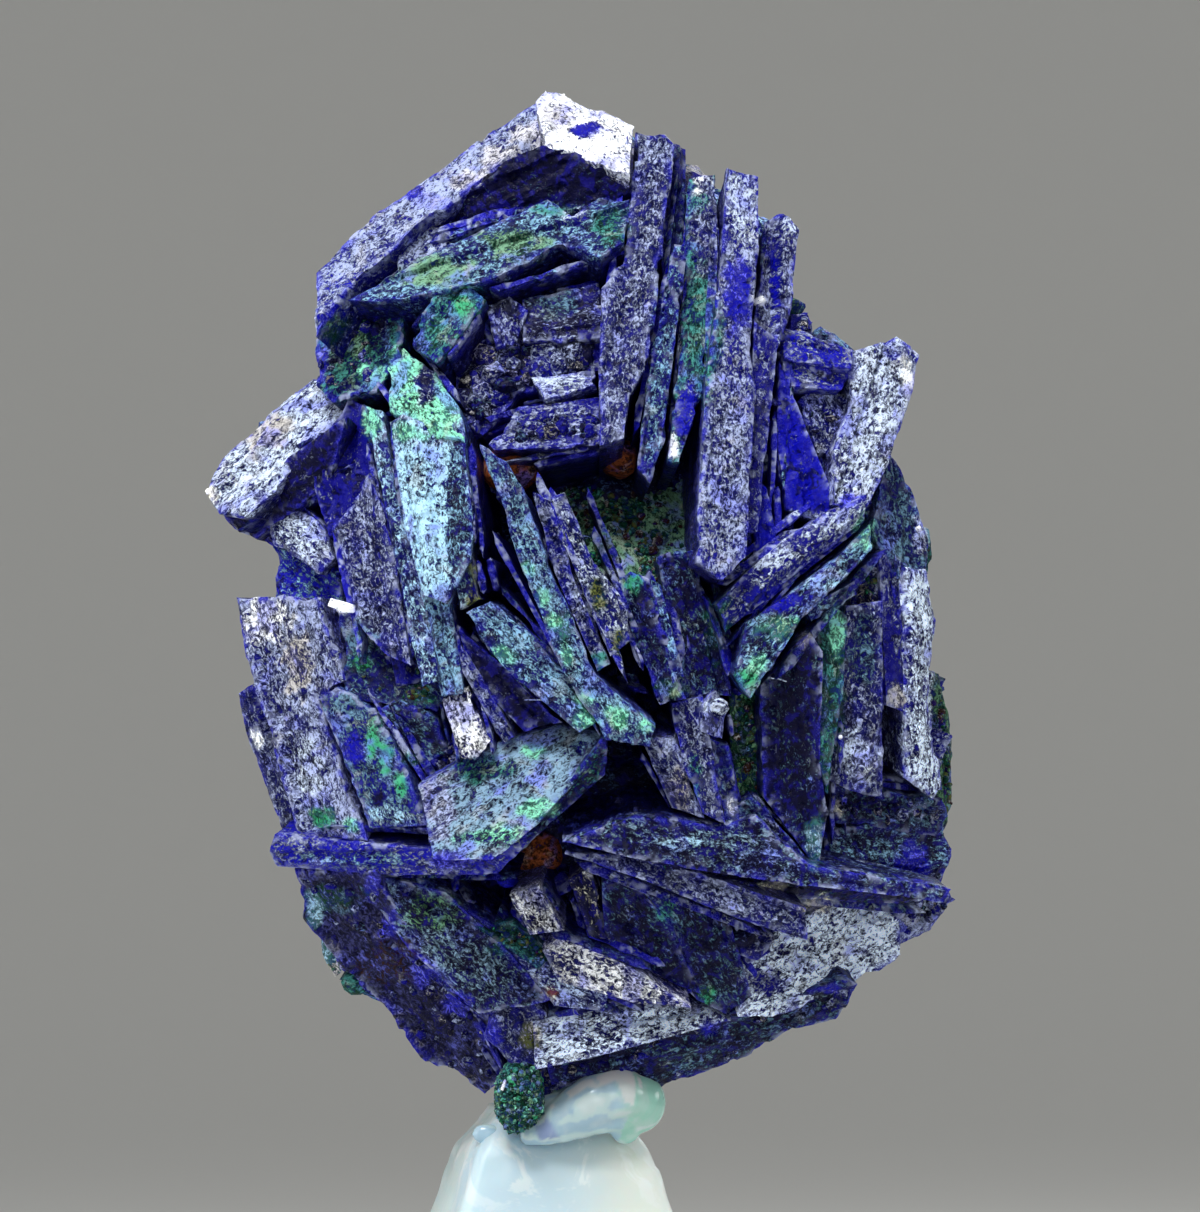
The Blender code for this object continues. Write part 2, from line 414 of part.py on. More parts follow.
def front_blades(chance):
    blades = []
    for set_back, depth, turn_right, turn_up, outline in FRONT_BLADES.values():
        outline = shaken(outline, chance)
        blades.append(blade_ends(outline, -1, FRONT_SWELL, set_back, depth, turn_right, turn_up))
    return blades


def strip(across, down, angle, length, width, chance):
    """Outline of a blade seen on its edge, with one end cut aslant."""
    along = (math.sin(angle), -math.cos(angle))
    beside = (along[1], -along[0])
    slant = chance.uniform(0.2, 0.6) * width
    corners = [
        (-0.5 * length, -0.5 * width), (-0.5 * length + slant, 0.5 * width),
        (0.5 * length - slant, 0.5 * width), (0.5 * length, 0.1 * width),
        (0.5 * length - 0.5 * slant, -0.5 * width)]
    return [(across + along[0] * s + beside[0] * t, down + along[1] * s + beside[1] * t)
            for s, t in corners]


def fitted_strip(across, down, angle, length, width, chance):
    """The longest strip up to this length that stays within the silhouette, or None."""
    draw = chance.random()
    while length > LEAST_SLIMNESS * width:
        outline = strip(across, down, angle, length, width, random.Random(draw))
        if all(inside(u, v) for u, v in outline):
            return outline
        length -= SHORTEN_STEP
    return None


def rear_blades(chance):
    """Books of parallel blades over the back, each book lying its own way."""
    blades = []
    rows = int(2 * HALF_HEIGHT / BOOK_STEP)
    columns = int(2 * HALF_WIDTH / BOOK_STEP) + 1
    for row in range(rows):
        for column in range(columns):
            shift = chance.uniform(-BOOK_SHIFT, BOOK_SHIFT), chance.uniform(-BOOK_SHIFT, BOOK_SHIFT)
            across = MIDDLE[0] + (column - 0.5 * (columns - 1) + shift[0]) * BOOK_STEP
            down = MIDDLE[1] + (row - 0.5 * (rows - 1) + shift[1]) * BOOK_STEP
            angle = chance.choice(BOOK_TURNS) + chance.uniform(-BOOK_TURN_SPREAD, BOOK_TURN_SPREAD)
            count = chance.choice(LEAF_COUNTS)
            for leaf in range(count):
                width = chance.uniform(*BLADE_WIDTH)
                aside = (leaf - 0.5 * (count - 1)) * LEAF_STEP
                forward = chance.uniform(-LEAF_SHIFT, LEAF_SHIFT)
                u = across - math.cos(angle) * aside + math.sin(angle) * forward
                v = down - math.sin(angle) * aside - math.cos(angle) * forward
                length = chance.uniform(*BLADE_LENGTH)
                outline = fitted_strip(u, v, angle, length, width, chance)
                set_back = chance.uniform(*REAR_SET_BACK)
                turns = chance.uniform(-REAR_TURN, REAR_TURN), chance.uniform(-REAR_TURN, REAR_TURN)
                if outline:
                    blades.append(blade_ends(outline, 1, REAR_SWELL, set_back, BLADE_DEPTH, *turns))
    return blades


def silhouette_point(share):
    """Point at this share of the way round the silhouette."""
    spans = []
    last = SILHOUETTE[-1]
    for point in SILHOUETTE:
        spans.append((last, point, math.dist(last, point)))
        last = point
    left = share * sum(span[2] for span in spans)
    for start, end, length in spans:
        if left <= length:
            part = left / length
            return start[0] + (end[0] - start[0]) * part, start[1] + (end[1] - start[1]) * part
        left -= length
    return SILHOUETTE[-1]


def rim_blade(share, chance):
    """A blade that points outwards from the rim, seen on its edge from the side, or None."""
    across, down = silhouette_point(share)
    outwards = Vector((across - MIDDLE[0], down - MIDDLE[1])).normalized()
    beside = Vector((-outwards.y, outwards.x))
    length = chance.uniform(*RIM_LENGTH)
    width = chance.uniform(*BLADE_WIDTH)
    slant = chance.uniform(-RIM_SLANT, RIM_SLANT)
    depth_middle = chance.uniform(*RIM_MIDDLE)
    inset = RIM_INSET
    while inset < RIM_MOST_INSET:
        outer = []
        inner = []
        for along, aside in ((-0.5, -0.5), (-0.42, 0.5), (0.5, 0.5), (0.4, -0.5)):
            shift = aside * width + slant * along * length
            y = depth_middle + along * length
            for ends, sunk in ((outer, inset), (inner, inset + RIM_DEPTH)):
                kept = 1.0 if ends is outer else RIM_NARROWING
                point = Vector((across, down)) - outwards * sunk + beside * shift * kept
                ends.append((point.x, point.y, y * kept))
        if all(inside(u, v) for u, v, _ in outer):
            return outer, inner
        inset += RIM_INSET_STEP
    return None


def rim_blades(chance):
    blades = []
    for index in range(RIM_BLADES):
        share = (index + chance.uniform(0.2, 0.8)) / RIM_BLADES
        blade = rim_blade(share, chance)
        if blade and silhouette_point(share)[1] < RIM_LOWEST:
            blades.append(blade)
    return blades


def material(name, colour, roughness, transmission=0.0):
    made = bpy.data.materials.new(name)
    made.use_nodes = True
    shader = made.node_tree.nodes["Principled BSDF"]
    shader.inputs["Base Color"].default_value = (*colour, 1.0)
    shader.inputs["Roughness"].default_value = roughness
    shader.inputs["Metallic"].default_value = 0.0
    shader.inputs["Transmission Weight"].default_value = transmission
    return made


def mesh_object(name, shape, collection):
    """Object made from a bmesh, which is freed."""
    mesh = bpy.data.meshes.new(name)
    bmesh.ops.recalc_face_normals(shape, faces=shape.faces)
    shape.to_mesh(mesh)
    shape.free()
    made = bpy.data.objects.new(name, mesh)
    collection.objects.link(made)
    return made


def cutter(made):
    """Hides an object that only shapes another."""
    made.hide_render = True
    made.display_type = "WIRE"
    return made


def prism(name, outer, inner, collection):
    """Solid between a blade's outer outline and its inner one."""
    shape = bmesh.new()
    face = shape.faces.new([shape.verts.new(place(*point)) for point in outer])
    grown = bmesh.ops.extrude_face_region(shape, geom=[face], use_keep_orig=True)
    far = [item for item in grown["geom"] if isinstance(item, bmesh.types.BMVert)]
    for vert in far:
        nearest = min(range(len(outer)), key=lambda i: (place(*outer[i]) - vert.co).length)
        vert.co = place(*inner[nearest])
    bmesh.ops.triangulate(shape, faces=shape.faces)
    return cutter(mesh_object(name, shape, collection))


def lump(name, across, down, depth, half_width, half_depth, half_height, collection):
    """Rounded mass, with fewer faces where it is small."""
    shape = bmesh.new()
    small = max(half_width, half_height) < SMALL_LUMP_SIZE
    bmesh.ops.create_icosphere(shape, subdivisions=1 if small else 2, radius=1.0)
    for vert in shape.verts:
        vert.co = Vector((vert.co.x * half_width, vert.co.y * half_depth, vert.co.z * half_height)) * MM
        vert.co += place(across, down, depth)
    return cutter(mesh_object(name, shape, collection))


def boolean(target, operation, other=None, collection=None):
    """Joins other solids to the target, or cuts them from it."""
    modifier = target.modifiers.new(operation.lower(), "BOOLEAN")
    modifier.operation = operation
    modifier.solver = "EXACT"
    if collection:
        modifier.operand_type = "COLLECTION"
        modifier.collection = collection
    else:
        modifier.object = other
    return modifier


def settled(made):
    """Replaces an object's mesh with what its modifiers make of it."""
    bpy.context.view_layer.update()
    graph = bpy.context.evaluated_depsgraph_get()
    mesh = bpy.data.meshes.new_from_object(made.evaluated_get(graph))
    made.modifiers.clear()
    made.data = mesh
    return made


def volume_of(faces):
    """Signed volume inside a set of faces."""
    total = 0.0
    for face in faces:
        corners = [vert.co for vert in face.verts]
        for index in range(1, len(corners) - 1):
            total += corners[0].dot(corners[index].cross(corners[index + 1])) / 6.0
    return total


def keep_body(made):
    """Keeps the one outer skin, without the pockets between blades, and drops needless edges."""
    shape = bmesh.new()
    shape.from_mesh(made.data)
    bmesh.ops.remove_doubles(shape, verts=shape.verts, dist=MERGE * MM)
    bmesh.ops.dissolve_limit(
        shape, angle_limit=math.radians(FLAT_ANGLE), verts=shape.verts, edges=shape.edges)
    bmesh.ops.triangulate(shape, faces=shape.faces)
    left = set(shape.faces)
    skins = []
    while left:
        skin = set()
        reached = [left.pop()]
        while reached:
            face = reached.pop()
            skin.add(face)
            for edge in face.edges:
                for other in edge.link_faces:
                    if other in left:
                        left.discard(other)
                        reached.append(other)
        skins.append(skin)
    skins.sort(key=volume_of)
    skins.pop()
    bmesh.ops.delete(shape, geom=[face for skin in skins for face in skin], context="FACES")
    shape.to_mesh(made.data)
    shape.free()


def tapered_block(name, wider, collection):
    """The stand's solid, with every side moved out by this many millimetres."""
    shape = bmesh.new()
    rings = []
    for side, height in STAND_SIDES:
        ring = bmesh.ops.create_circle(shape, segments=4, radius=1.0)["verts"]
        reach = math.sqrt(0.5) * side + math.sqrt(2.0) * wider
        top = wider if height == STAND_SIDES[-1][1] else 0.0
        for vert in ring:
            vert.co = Vector((vert.co.x * reach, vert.co.y * reach, height + top)) * MM
        rings.append(ring)
    bmesh.ops.bridge_loops(shape, edges=shape.edges)
    for ring in (rings[0], rings[-1]):
        bmesh.ops.contextual_create(shape, geom=ring)
    uprights = [edge for edge in shape.edges if edge.verts[0].co.z != edge.verts[1].co.z]
    bmesh.ops.bevel(shape, geom=uprights, offset=STAND_CORNER * MM, segments=2, profile=0.5,
                    affect="EDGES")
    turn = Matrix.Rotation(math.radians(45.0 + STAND_TURN), 4, "Z")
    bmesh.ops.transform(shape, matrix=turn, verts=shape.verts)
    return mesh_object(name, shape, collection)


def make_stand(collection):
    stand = tapered_block("pedestal", 0.0, collection)
    stand.data.shade_smooth()
    stand.data.set_sharp_from_angle(angle=math.radians(25))
    stand.data.materials.append(material("frosted stand", (0.80, 0.90, 0.90), 0.35, 0.4))
    return stand


def glue_shape(name, grown, collection):
    """The glue's pad and bead joined, each larger by this many millimetres."""
    pad = lump(name, *GLUE_PAD[:3], *[half + grown for half in GLUE_PAD[3:]], collection)
    path = bpy.data.curves.new(name + "_path", "CURVE")
    path.dimensions = "3D"
    path.bevel_depth = MM
    path.bevel_resolution = 1
    path.use_fill_caps = True
    line = path.splines.new("POLY")
    line.points.add(len(GLUE_BEAD) - 1)
    for point, (across, down, depth, radius) in zip(line.points, GLUE_BEAD):
        point.co = (*place(across, down, depth), 1.0)
        point.radius = radius + grown
    tube = bpy.data.objects.new(name + "_tube", path)
    collection.objects.link(tube)
    bpy.context.view_layer.update()
    graph = bpy.context.evaluated_depsgraph_get()
    shape = bmesh.new()
    shape.from_mesh(bpy.data.meshes.new_from_object(tube.evaluated_get(graph)))
    bmesh.ops.remove_doubles(shape, verts=shape.verts, dist=0.001 * MM)
    bpy.data.objects.remove(tube)
    joined = [cutter(mesh_object(name + "_roll", shape, collection))]
    for across, down, depth, radius in (GLUE_BEAD[0], GLUE_BEAD[-1]):
        joined.append(lump(name + "_end", across, down, depth, *[radius + grown] * 3, collection))
    joined.append(lump(name + "_drop", *GLUE_DROP[:3], *[half + grown for half in GLUE_DROP[3:]],
                       collection))
    for other in joined:
        boolean(pad, "UNION", other)
    return settled(pad)


def make_glue(collection, helpers, clearance):
    shape = glue_shape("glue", 0.0, helpers)
    boolean(shape, "DIFFERENCE", clearance)
    settled(shape)
    keep_body(shape)
    glue = bpy.data.objects.new("glue_bead", shape.data)
    collection.objects.link(glue)
    glue.data.shade_smooth()
    glue.data.materials.append(material("clear glue", (0.75, 0.92, 0.86), 0.12, 0.9))
    return glue


def make_cluster(collection, helpers, clearance):
    """Every blade and lump joined in one solid, cut clear of the stand and the glue."""
    chance = random.Random(11)
    blades = front_blades(chance) + rear_blades(chance) + rim_blades(chance)
    parts = bpy.data.collections.new("blades")
    helpers.children.link(parts)
    for index, (outer, inner) in enumerate(blades):
        prism(f"blade_{index}", outer, inner, parts)
    for index, values in enumerate(CORE_LUMPS[1:] + SMALL_LUMPS + [MALACHITE_BALL]):
        lump(f"lump_{index}", *values, parts)
    body = lump("body", *CORE_LUMPS[0], helpers)
    boolean(body, "UNION", collection=parts)
    settled(body)
    boolean(body, "DIFFERENCE", clearance)
    boolean(body, "DIFFERENCE", glue_shape("glue_clearance", CLEARANCE, helpers))
    settled(body)
    keep_body(body)
    cluster = bpy.data.objects.new("azurite_cluster", body.data)
    collection.objects.link(cluster)
    cluster.data.materials.append(material("azurite", (0.03, 0.04, 0.32), 0.45))
    return cluster


def clear_scene():
    for made in list(bpy.data.objects):
        bpy.data.objects.remove(made)


def main():
    clear_scene()
    part = bpy.data.collections.new("azurite_malachite_specimen")
    helpers = bpy.data.collections.new("helpers")
    bpy.context.scene.collection.children.link(part)
    bpy.context.scene.collection.children.link(helpers)
    make_stand(part)
    clearance = cutter(tapered_block("stand_clearance", CLEARANCE, helpers))
    make_glue(part, helpers, clearance)
    make_cluster(part, helpers, clearance)


main()
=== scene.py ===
"""Looks of the azurite and malachite specimen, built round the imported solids.

Shapes are worked out in millimetres and made in metres. The blades' outlines are drawn on the front
view, across from the left edge of the drawing and down from its top.
"""

import math
import random

import bmesh
import bpy
import numpy as np
from mathutils import Matrix, Vector
from mathutils.geometry import delaunay_2d_cdt


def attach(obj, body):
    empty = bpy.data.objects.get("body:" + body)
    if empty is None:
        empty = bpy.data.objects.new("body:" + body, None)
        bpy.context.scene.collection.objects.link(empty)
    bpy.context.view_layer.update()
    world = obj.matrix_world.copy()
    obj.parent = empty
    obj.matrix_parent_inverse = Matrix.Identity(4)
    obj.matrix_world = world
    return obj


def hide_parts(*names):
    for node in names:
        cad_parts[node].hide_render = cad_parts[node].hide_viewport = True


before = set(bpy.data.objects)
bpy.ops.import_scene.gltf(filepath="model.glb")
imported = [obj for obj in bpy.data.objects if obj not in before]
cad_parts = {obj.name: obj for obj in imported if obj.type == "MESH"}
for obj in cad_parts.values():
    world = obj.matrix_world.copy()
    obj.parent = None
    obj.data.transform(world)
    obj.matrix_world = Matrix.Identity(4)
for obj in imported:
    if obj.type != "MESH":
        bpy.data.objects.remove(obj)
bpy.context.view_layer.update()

MM = 0.001

# The drawing of the front view, in millimetres
AXIS_ACROSS = 22.1          # the stand's axis, across the drawing
FOOT_DOWN = 60.5            # the stand's foot, down the drawing
MIDDLE = (24.0, 24.5)       # the middle of the cluster
HALF_WIDTH = 15.0
HALF_HEIGHT = 21.0

# The cluster bulges towards the front and the back
FRONT_SWELL = 10.0
REAR_SWELL = 9.4
SWELL_FALL = 0.75           # share of the swell that is lost at the rim
FACE_FOLLOW = 0.7           # how far a blade's outer face follows the bulge
GATHER_DEPTH = 20.0         # blades on one side run together towards a point this far behind
OUTLINE_SHAKE = 0.03        # keeps neighbours from sharing an edge

# Blades that the front view doesn't show
BOOK_STEP = 5.6             # spacing of the books of parallel blades over the back
BOOK_SHIFT = 0.3            # how far a book strays from its place, as a share of the spacing
BOOK_TURNS = (-0.9, -0.35, 0.1, 0.5, 1.2)       # radians
BOOK_TURN_SPREAD = 0.15
LEAF_COUNTS = (2, 3, 3)
LEAF_STEP = 1.6             # spacing of the blades in a book
LEAF_SHIFT = 1.5            # how far a blade slides along its book
REAR_SET_BACK = (-0.8, 1.2)
REAR_TURN = 0.25
BLADE_LENGTH = (6.5, 11.5)
BLADE_WIDTH = (1.1, 1.9)
BLADE_DEPTH = 6.5
LEAST_SLIMNESS = 1.7        # a blade shorter than this many widths is left out
SHORTEN_STEP = 0.5
RIM_BLADES = 24
RIM_LENGTH = (6.0, 9.0)
RIM_SLANT = 0.5
RIM_MIDDLE = (0.6, 2.0)     # depth of the middle of a rim blade
RIM_INSET = 0.5
RIM_INSET_STEP = 0.3
RIM_MOST_INSET = 4.0
RIM_DEPTH = 5.5
RIM_NARROWING = 0.75
RIM_LOWEST = 41.0           # no rim blades below this, where the stand begins

# Stand: a square block that narrows upwards, as its side at each height above its foot
STAND_SIDES = [(17.4, 0.0), (17.0, 0.9), (8.7, 12.0), (6.9, 14.7), (4.4, 16.3)]
STAND_TURN = 8.2                # degrees
STAND_CORNER = 0.35             # rounding of its upright edges
CLEARANCE = 0.34                # gap between the stand, the glue and the cluster

# Values for a clean-up of joined solids, which this script doesn't read
MERGE = 0.006
FLAT_ANGLE = 2.0                # degrees

# Silhouette of the cluster in the front view, clockwise from the top
SILHOUETTE = [
    (21.8, 3.7), (24.0, 4.3), (25.4, 5.0), (26.6, 5.6), (28.5, 7.2), (30.3, 7.3), (31.9, 9.6),
    (31.7, 11.6), (32.6, 12.8), (33.9, 14.1), (35.8, 13.5), (36.7, 14.3), (35.6, 17.6),
    (37.0, 21.4), (37.4, 24.8), (38.0, 28.2), (38.2, 32.2), (37.8, 35.2), (38.3, 36.0),
    (37.2, 37.3), (35.9, 38.0), (33.4, 40.6), (29.8, 42.1), (26.4, 43.4), (24.0, 43.3),
    (21.8, 44.6), (20.0, 44.4), (16.0, 40.9), (13.6, 39.4), (13.0, 38.0), (12.2, 35.6),
    (10.9, 34.3), (10.7, 31.4), (9.6, 27.8), (10.2, 27.4), (9.6, 24.0), (11.0, 23.8),
    (11.0, 21.8), (9.9, 21.6), (8.3, 19.8), (9.0, 18.3), (12.7, 14.6), (12.8, 11.0),
    (15.1, 8.6), (20.0, 5.0),
]

# Blades of the front: how far the face is set back from the bulge, how deep the blade runs, how
# its face turns to the right and upwards, and its outline
FRONT_BLADES = {
    "roof band": (0.0, 9.0, 0.0, 0.5, [
        (12.8, 11.0), (15.1, 8.6), (17.5, 7.0), (20.0, 5.0), (21.6, 4.1), (21.9, 6.1),
        (20.3, 6.8), (17.2, 9.1), (14.4, 11.4), (12.8, 13.6)]),
    "roof cap": (-0.3, 7.0, 0.0, 0.8, [
        (21.4, 4.2), (21.8, 3.7), (24.0, 4.3), (25.4, 5.0), (25.2, 7.3), (23.0, 6.4), (21.7, 6.2)]),
    "roof underside": (1.2, 6.0, 0.0, -0.6, [
        (17.0, 8.9), (20.3, 6.5), (21.9, 5.9), (25.4, 7.2), (25.3, 8.6), (21.9, 8.8),
        (18.0, 10.7), (13.6, 13.0), (13.4, 12.3)]),
    "roof splinter": (0.2, 3.0, 0.2, 0.3, [
        (16.0, 10.2), (17.2, 9.1), (18.3, 9.8), (17.4, 10.5), (16.0, 11.0)]),
    "green roof blade": (-0.4, 6.0, 0.0, 0.35, [
        (14.0, 12.1), (17.6, 10.3), (20.0, 9.1), (21.9, 8.2), (22.9, 8.9), (24.0, 8.1),
        (25.2, 8.2), (25.0, 10.0), (24.0, 10.7), (22.4, 10.0), (20.0, 11.4), (16.5, 12.3)]),
    "green stub": (-1.2, 6.0, 0.2, 0.2, [
        (16.4, 13.8), (17.5, 11.9), (18.7, 11.3), (19.5, 12.2), (18.8, 13.4), (17.6, 14.7)]),
    "left shoulder": (0.0, 6.0, -0.2, 0.1, [
        (12.7, 13.4), (13.4, 12.5), (14.6, 12.2), (16.4, 12.4), (16.2, 14.4), (15.2, 15.8),
        (13.4, 16.2), (12.6, 15.3)]),
    "arm upper": (0.0, 5.0, 0.0, 0.6, [
        (12.6, 15.2), (10.7, 16.7), (9.0, 18.3), (8.3, 19.7), (9.0, 20.7), (10.0, 20.6),
        (12.2, 18.4), (14.2, 16.7), (13.8, 15.5)]),
    "arm lower": (0.2, 4.5, 0.0, -0.5, [
        (8.9, 20.5), (9.4, 21.2), (10.3, 21.6), (12.0, 20.4), (13.4, 19.2), (14.0, 16.8),
        (12.2, 18.0)]),
    "chip blade": (0.8, 5.0, -0.1, 0.3, [
        (10.9, 20.7), (12.0, 20.3), (13.0, 21.0), (13.5, 22.4), (12.9, 23.0), (10.9, 21.7)]),
    "left blue block": (1.5, 5.0, 0.0, 0.0, [
        (11.0, 21.4), (12.6, 21.9), (13.8, 22.8), (13.8, 24.6), (11.1, 24.0)]),
    "left blue flat": (0.6, 6.0, -0.3, 0.0, [
        (14.1, 16.0), (15.2, 16.6), (15.2, 20.8), (13.3, 21.6), (12.7, 18.6)]),
    "left speckled blade": (0.0, 7.0, -0.2, 0.1, [
        (14.9, 19.0), (15.9, 22.0), (16.6, 26.6), (15.6, 26.2), (14.4, 24.8), (13.9, 22.4),
        (13.5, 21.2)]),
    "left blue wall": (0.6, 7.0, 0.3, 0.0, [
        (15.0, 19.4), (16.0, 21.0), (17.2, 27.2), (16.0, 27.4), (15.2, 23.4)]),
    "green tipped blade": (-0.4, 7.0, 0.0, 0.1, [
        (14.6, 16.2), (15.4, 16.6), (16.1, 20.2), (16.9, 22.8), (17.7, 27.2), (17.0, 27.4),
        (16.1, 23.2), (15.2, 18.4)]),
    "vivid tip": (-0.8, 6.0, 0.0, 0.25, [
        (16.2, 14.0), (17.4, 14.9), (18.5, 16.4), (18.7, 17.8), (17.0, 17.6), (15.7, 16.6),
        (15.6, 14.9)]),
    "cyan blade": (-1.0, 7.0, 0.0, 0.1, [
        (15.7, 17.0), (16.3, 16.7), (17.9, 17.4), (18.6, 16.8), (19.0, 20.8), (18.9, 22.4),
        (18.0, 24.2), (17.0, 23.8), (16.2, 20.4)]),
    "cyan foot": (-0.5, 7.0, -0.1, 0.0, [
        (16.9, 23.2), (18.1, 23.8), (18.6, 27.7), (17.8, 27.8)]),
    "bright end": (-0.6, 5.0, 0.0, 0.3, [
        (17.8, 27.9), (18.8, 27.3), (19.2, 28.6), (19.7, 29.5), (19.1, 30.3), (18.6, 30.2)]),
    "olive chip": (-0.7, 6.0, 0.2, 0.0, [
        (18.0, 22.2), (19.1, 22.1), (19.4, 24.0), (18.5, 24.4)]),
    "long blade": (-1.2, 7.0, 0.15, 0.0, [
        (19.3, 17.9), (20.4, 18.6), (21.2, 20.0), (22.1, 22.8), (23.9, 26.9), (26.2, 29.0),
        (25.9, 29.7), (24.2, 29.5), (22.5, 26.8), (21.0, 22.9)]),
    "thin blade left": (-0.5, 7.0, 0.1, 0.0, [
        (21.4, 19.8), (22.1, 20.1), (23.0, 23.2), (24.4, 26.5), (23.9, 26.8), (22.2, 23.0)]),
    "thin blade right": (-0.2, 7.0, 0.1, 0.0, [
        (22.1, 20.0), (22.6, 19.8), (23.8, 22.6), (25.1, 24.3), (25.1, 25.6), (24.4, 26.2),
        (22.9, 22.6)]),
    "inner long blade": (-0.6, 6.0, 0.1, 0.3, [
        (18.7, 24.5), (19.7, 23.9), (21.4, 25.4), (24.1, 28.6), (23.2, 29.2), (20.2, 26.6)]),
    "inner sliver": (0.2, 6.0, 0.0, 0.0, [
        (18.4, 25.0), (20.8, 27.0), (22.6, 28.8), (21.0, 29.2), (18.9, 27.0)]),
    "inner rib": (0.0, 5.0, 0.1, 0.0, [
        (18.3, 25.4), (19.4, 27.0), (20.7, 29.4), (20.2, 29.7), (18.2, 26.2)]),
    "middle blue blade": (0.2, 7.0, -0.3, 0.0, [
        (24.6, 23.3), (25.2, 22.9), (26.0, 23.2), (26.8, 26.0), (27.4, 27.9), (26.3, 28.2),
        (25.2, 25.4)]),
    "middle pale strip": (-0.1, 7.0, 0.0, 0.1, [
        (25.9, 23.1), (26.4, 23.4), (27.3, 27.0), (26.8, 27.3)]),
    "olive blade": (0.7, 6.0, 0.2, 0.0, [
        (26.2, 22.3), (27.7, 22.0), (29.2, 26.4), (29.2, 27.8), (27.2, 27.8)]),
    "blue line": (0.3, 5.0, 0.2, 0.0, [
        (28.0, 23.8), (28.5, 24.2), (29.4, 26.7), (29.0, 27.0)]),
    "upper slab": (0.8, 6.0, 0.0, 0.2, [
        (20.9, 12.1), (24.0, 11.4), (24.4, 13.8), (20.9, 13.9)]),
    "upper oval": (0.4, 6.0, 0.0, 0.0, [
        (19.4, 12.4), (20.4, 12.0), (21.1, 12.6), (20.9, 14.0), (19.9, 14.1)]),
    "upper rubble": (1.4, 5.0, 0.0, 0.1, [
        (18.2, 14.2), (19.8, 13.4), (24.2, 13.5), (24.1, 15.0), (20.8, 16.0), (19.4, 17.6),
        (18.4, 16.8)]),
    "upper pale chip": (0.7, 5.0, 0.0, 0.4, [
        (21.2, 15.1), (23.8, 14.8), (23.9, 15.7), (21.8, 16.3)]),
    "cavity lip": (0.4, 6.0, 0.0, 0.5, [
        (19.6, 17.9), (20.7, 16.6), (24.1, 16.1), (24.1, 17.9), (19.8, 18.2)]),
    "cavity floor": (3.8, 4.0, 0.0, 0.9, [
        (22.2, 19.4), (28.0, 19.0), (28.0, 23.0), (25.6, 23.6), (23.4, 22.6)]),
    "column wide": (-0.4, 8.0, -0.1, 0.1, [
        (25.4, 5.5), (26.6, 5.6), (27.0, 6.0), (26.5, 10.0), (26.0, 14.4), (25.2, 16.0),
        (25.0, 17.8), (23.9, 18.0), (24.0, 11.8), (24.9, 10.6)]),
    "column wide flank": (0.4, 7.0, 0.5, 0.0, [
        (26.8, 5.9), (27.4, 6.1), (27.4, 8.4), (27.2, 11.0), (26.4, 14.0), (26.5, 9.0)]),
    "column slim": (0.1, 8.0, 0.0, 0.0, [
        (26.9, 9.9), (27.4, 10.1), (27.0, 14.0), (26.5, 17.8), (26.0, 19.4), (25.5, 18.8),
        (25.8, 15.4)]),
    "column green": (0.3, 8.0, 0.0, 0.1, [
        (27.5, 7.2), (28.6, 7.1), (28.8, 11.0), (28.0, 16.0), (27.1, 18.7), (26.6, 18.6),
        (27.1, 14.0)]),
    "column tall": (-0.6, 8.0, 0.0, 0.1, [
        (29.0, 6.9), (30.3, 7.3), (30.3, 9.6), (29.9, 13.6), (30.1, 16.0), (29.7, 22.4),
        (28.8, 23.3), (27.7, 22.6), (28.1, 16.0), (28.8, 10.4)]),
    "column right": (0.2, 8.0, 0.1, 0.1, [
        (30.7, 8.9), (31.2, 8.6), (31.9, 9.4), (31.6, 12.0), (31.0, 14.1), (30.2, 13.0)]),
    "column low": (0.1, 7.0, 0.1, 0.0, [
        (30.0, 12.9), (31.1, 13.8), (30.8, 16.4), (30.2, 21.4), (29.7, 21.4)]),
    "bar upper": (0.2, 5.0, 0.0, 0.4, [
        (31.1, 13.2), (32.0, 13.3), (34.0, 14.1), (34.0, 15.0), (31.2, 14.5)]),
    "bar lower": (0.5, 5.0, 0.0, 0.1, [
        (31.1, 14.4), (34.0, 14.9), (33.5, 15.8), (31.3, 15.6)]),
    "knob high": (0.9, 4.0, 0.0, 0.2, [
        (31.5, 12.7), (32.3, 12.5), (32.6, 13.1), (32.3, 13.8), (31.4, 13.8)]),
    "knob low": (1.0, 4.0, 0.0, 0.2, [
        (31.8, 16.2), (32.6, 15.5), (33.8, 15.9), (34.0, 18.0), (32.6, 18.4)]),
    "wing": (-0.3, 6.0, 0.1, 0.2, [
        (34.0, 14.1), (35.8, 13.5), (36.7, 14.3), (36.4, 15.6), (35.2, 19.0), (34.4, 20.6),
        (33.2, 20.2), (33.2, 18.0), (34.0, 16.0)]),
    "blue wedge": (0.6, 5.0, -0.2, 0.0, [
        (31.1, 14.6), (32.0, 17.0), (33.3, 20.2), (32.6, 20.8), (31.4, 20.4), (31.0, 18.0)]),
    "blue wedge low": (0.6, 5.0, -0.2, 0.0, [
        (30.0, 19.2), (30.6, 19.6), (31.1, 22.2), (30.0, 22.8)]),
    "upper diagonal": (-0.4, 6.0, 0.0, 0.1, [
        (31.0, 21.8), (32.8, 20.6), (34.5, 19.8), (34.5, 20.8), (32.0, 22.8), (29.0, 25.2),
        (28.5, 24.2), (29.6, 23.0)]),
    "lower diagonal": (-0.7, 6.0, 0.0, 0.2, [
        (34.7, 21.0), (32.5, 23.0), (29.7, 24.9), (29.2, 27.0), (29.9, 27.9), (32.0, 24.8),
        (34.7, 22.0)]),
    "diagonal sliver": (-0.2, 4.0, 0.0, 0.1, [
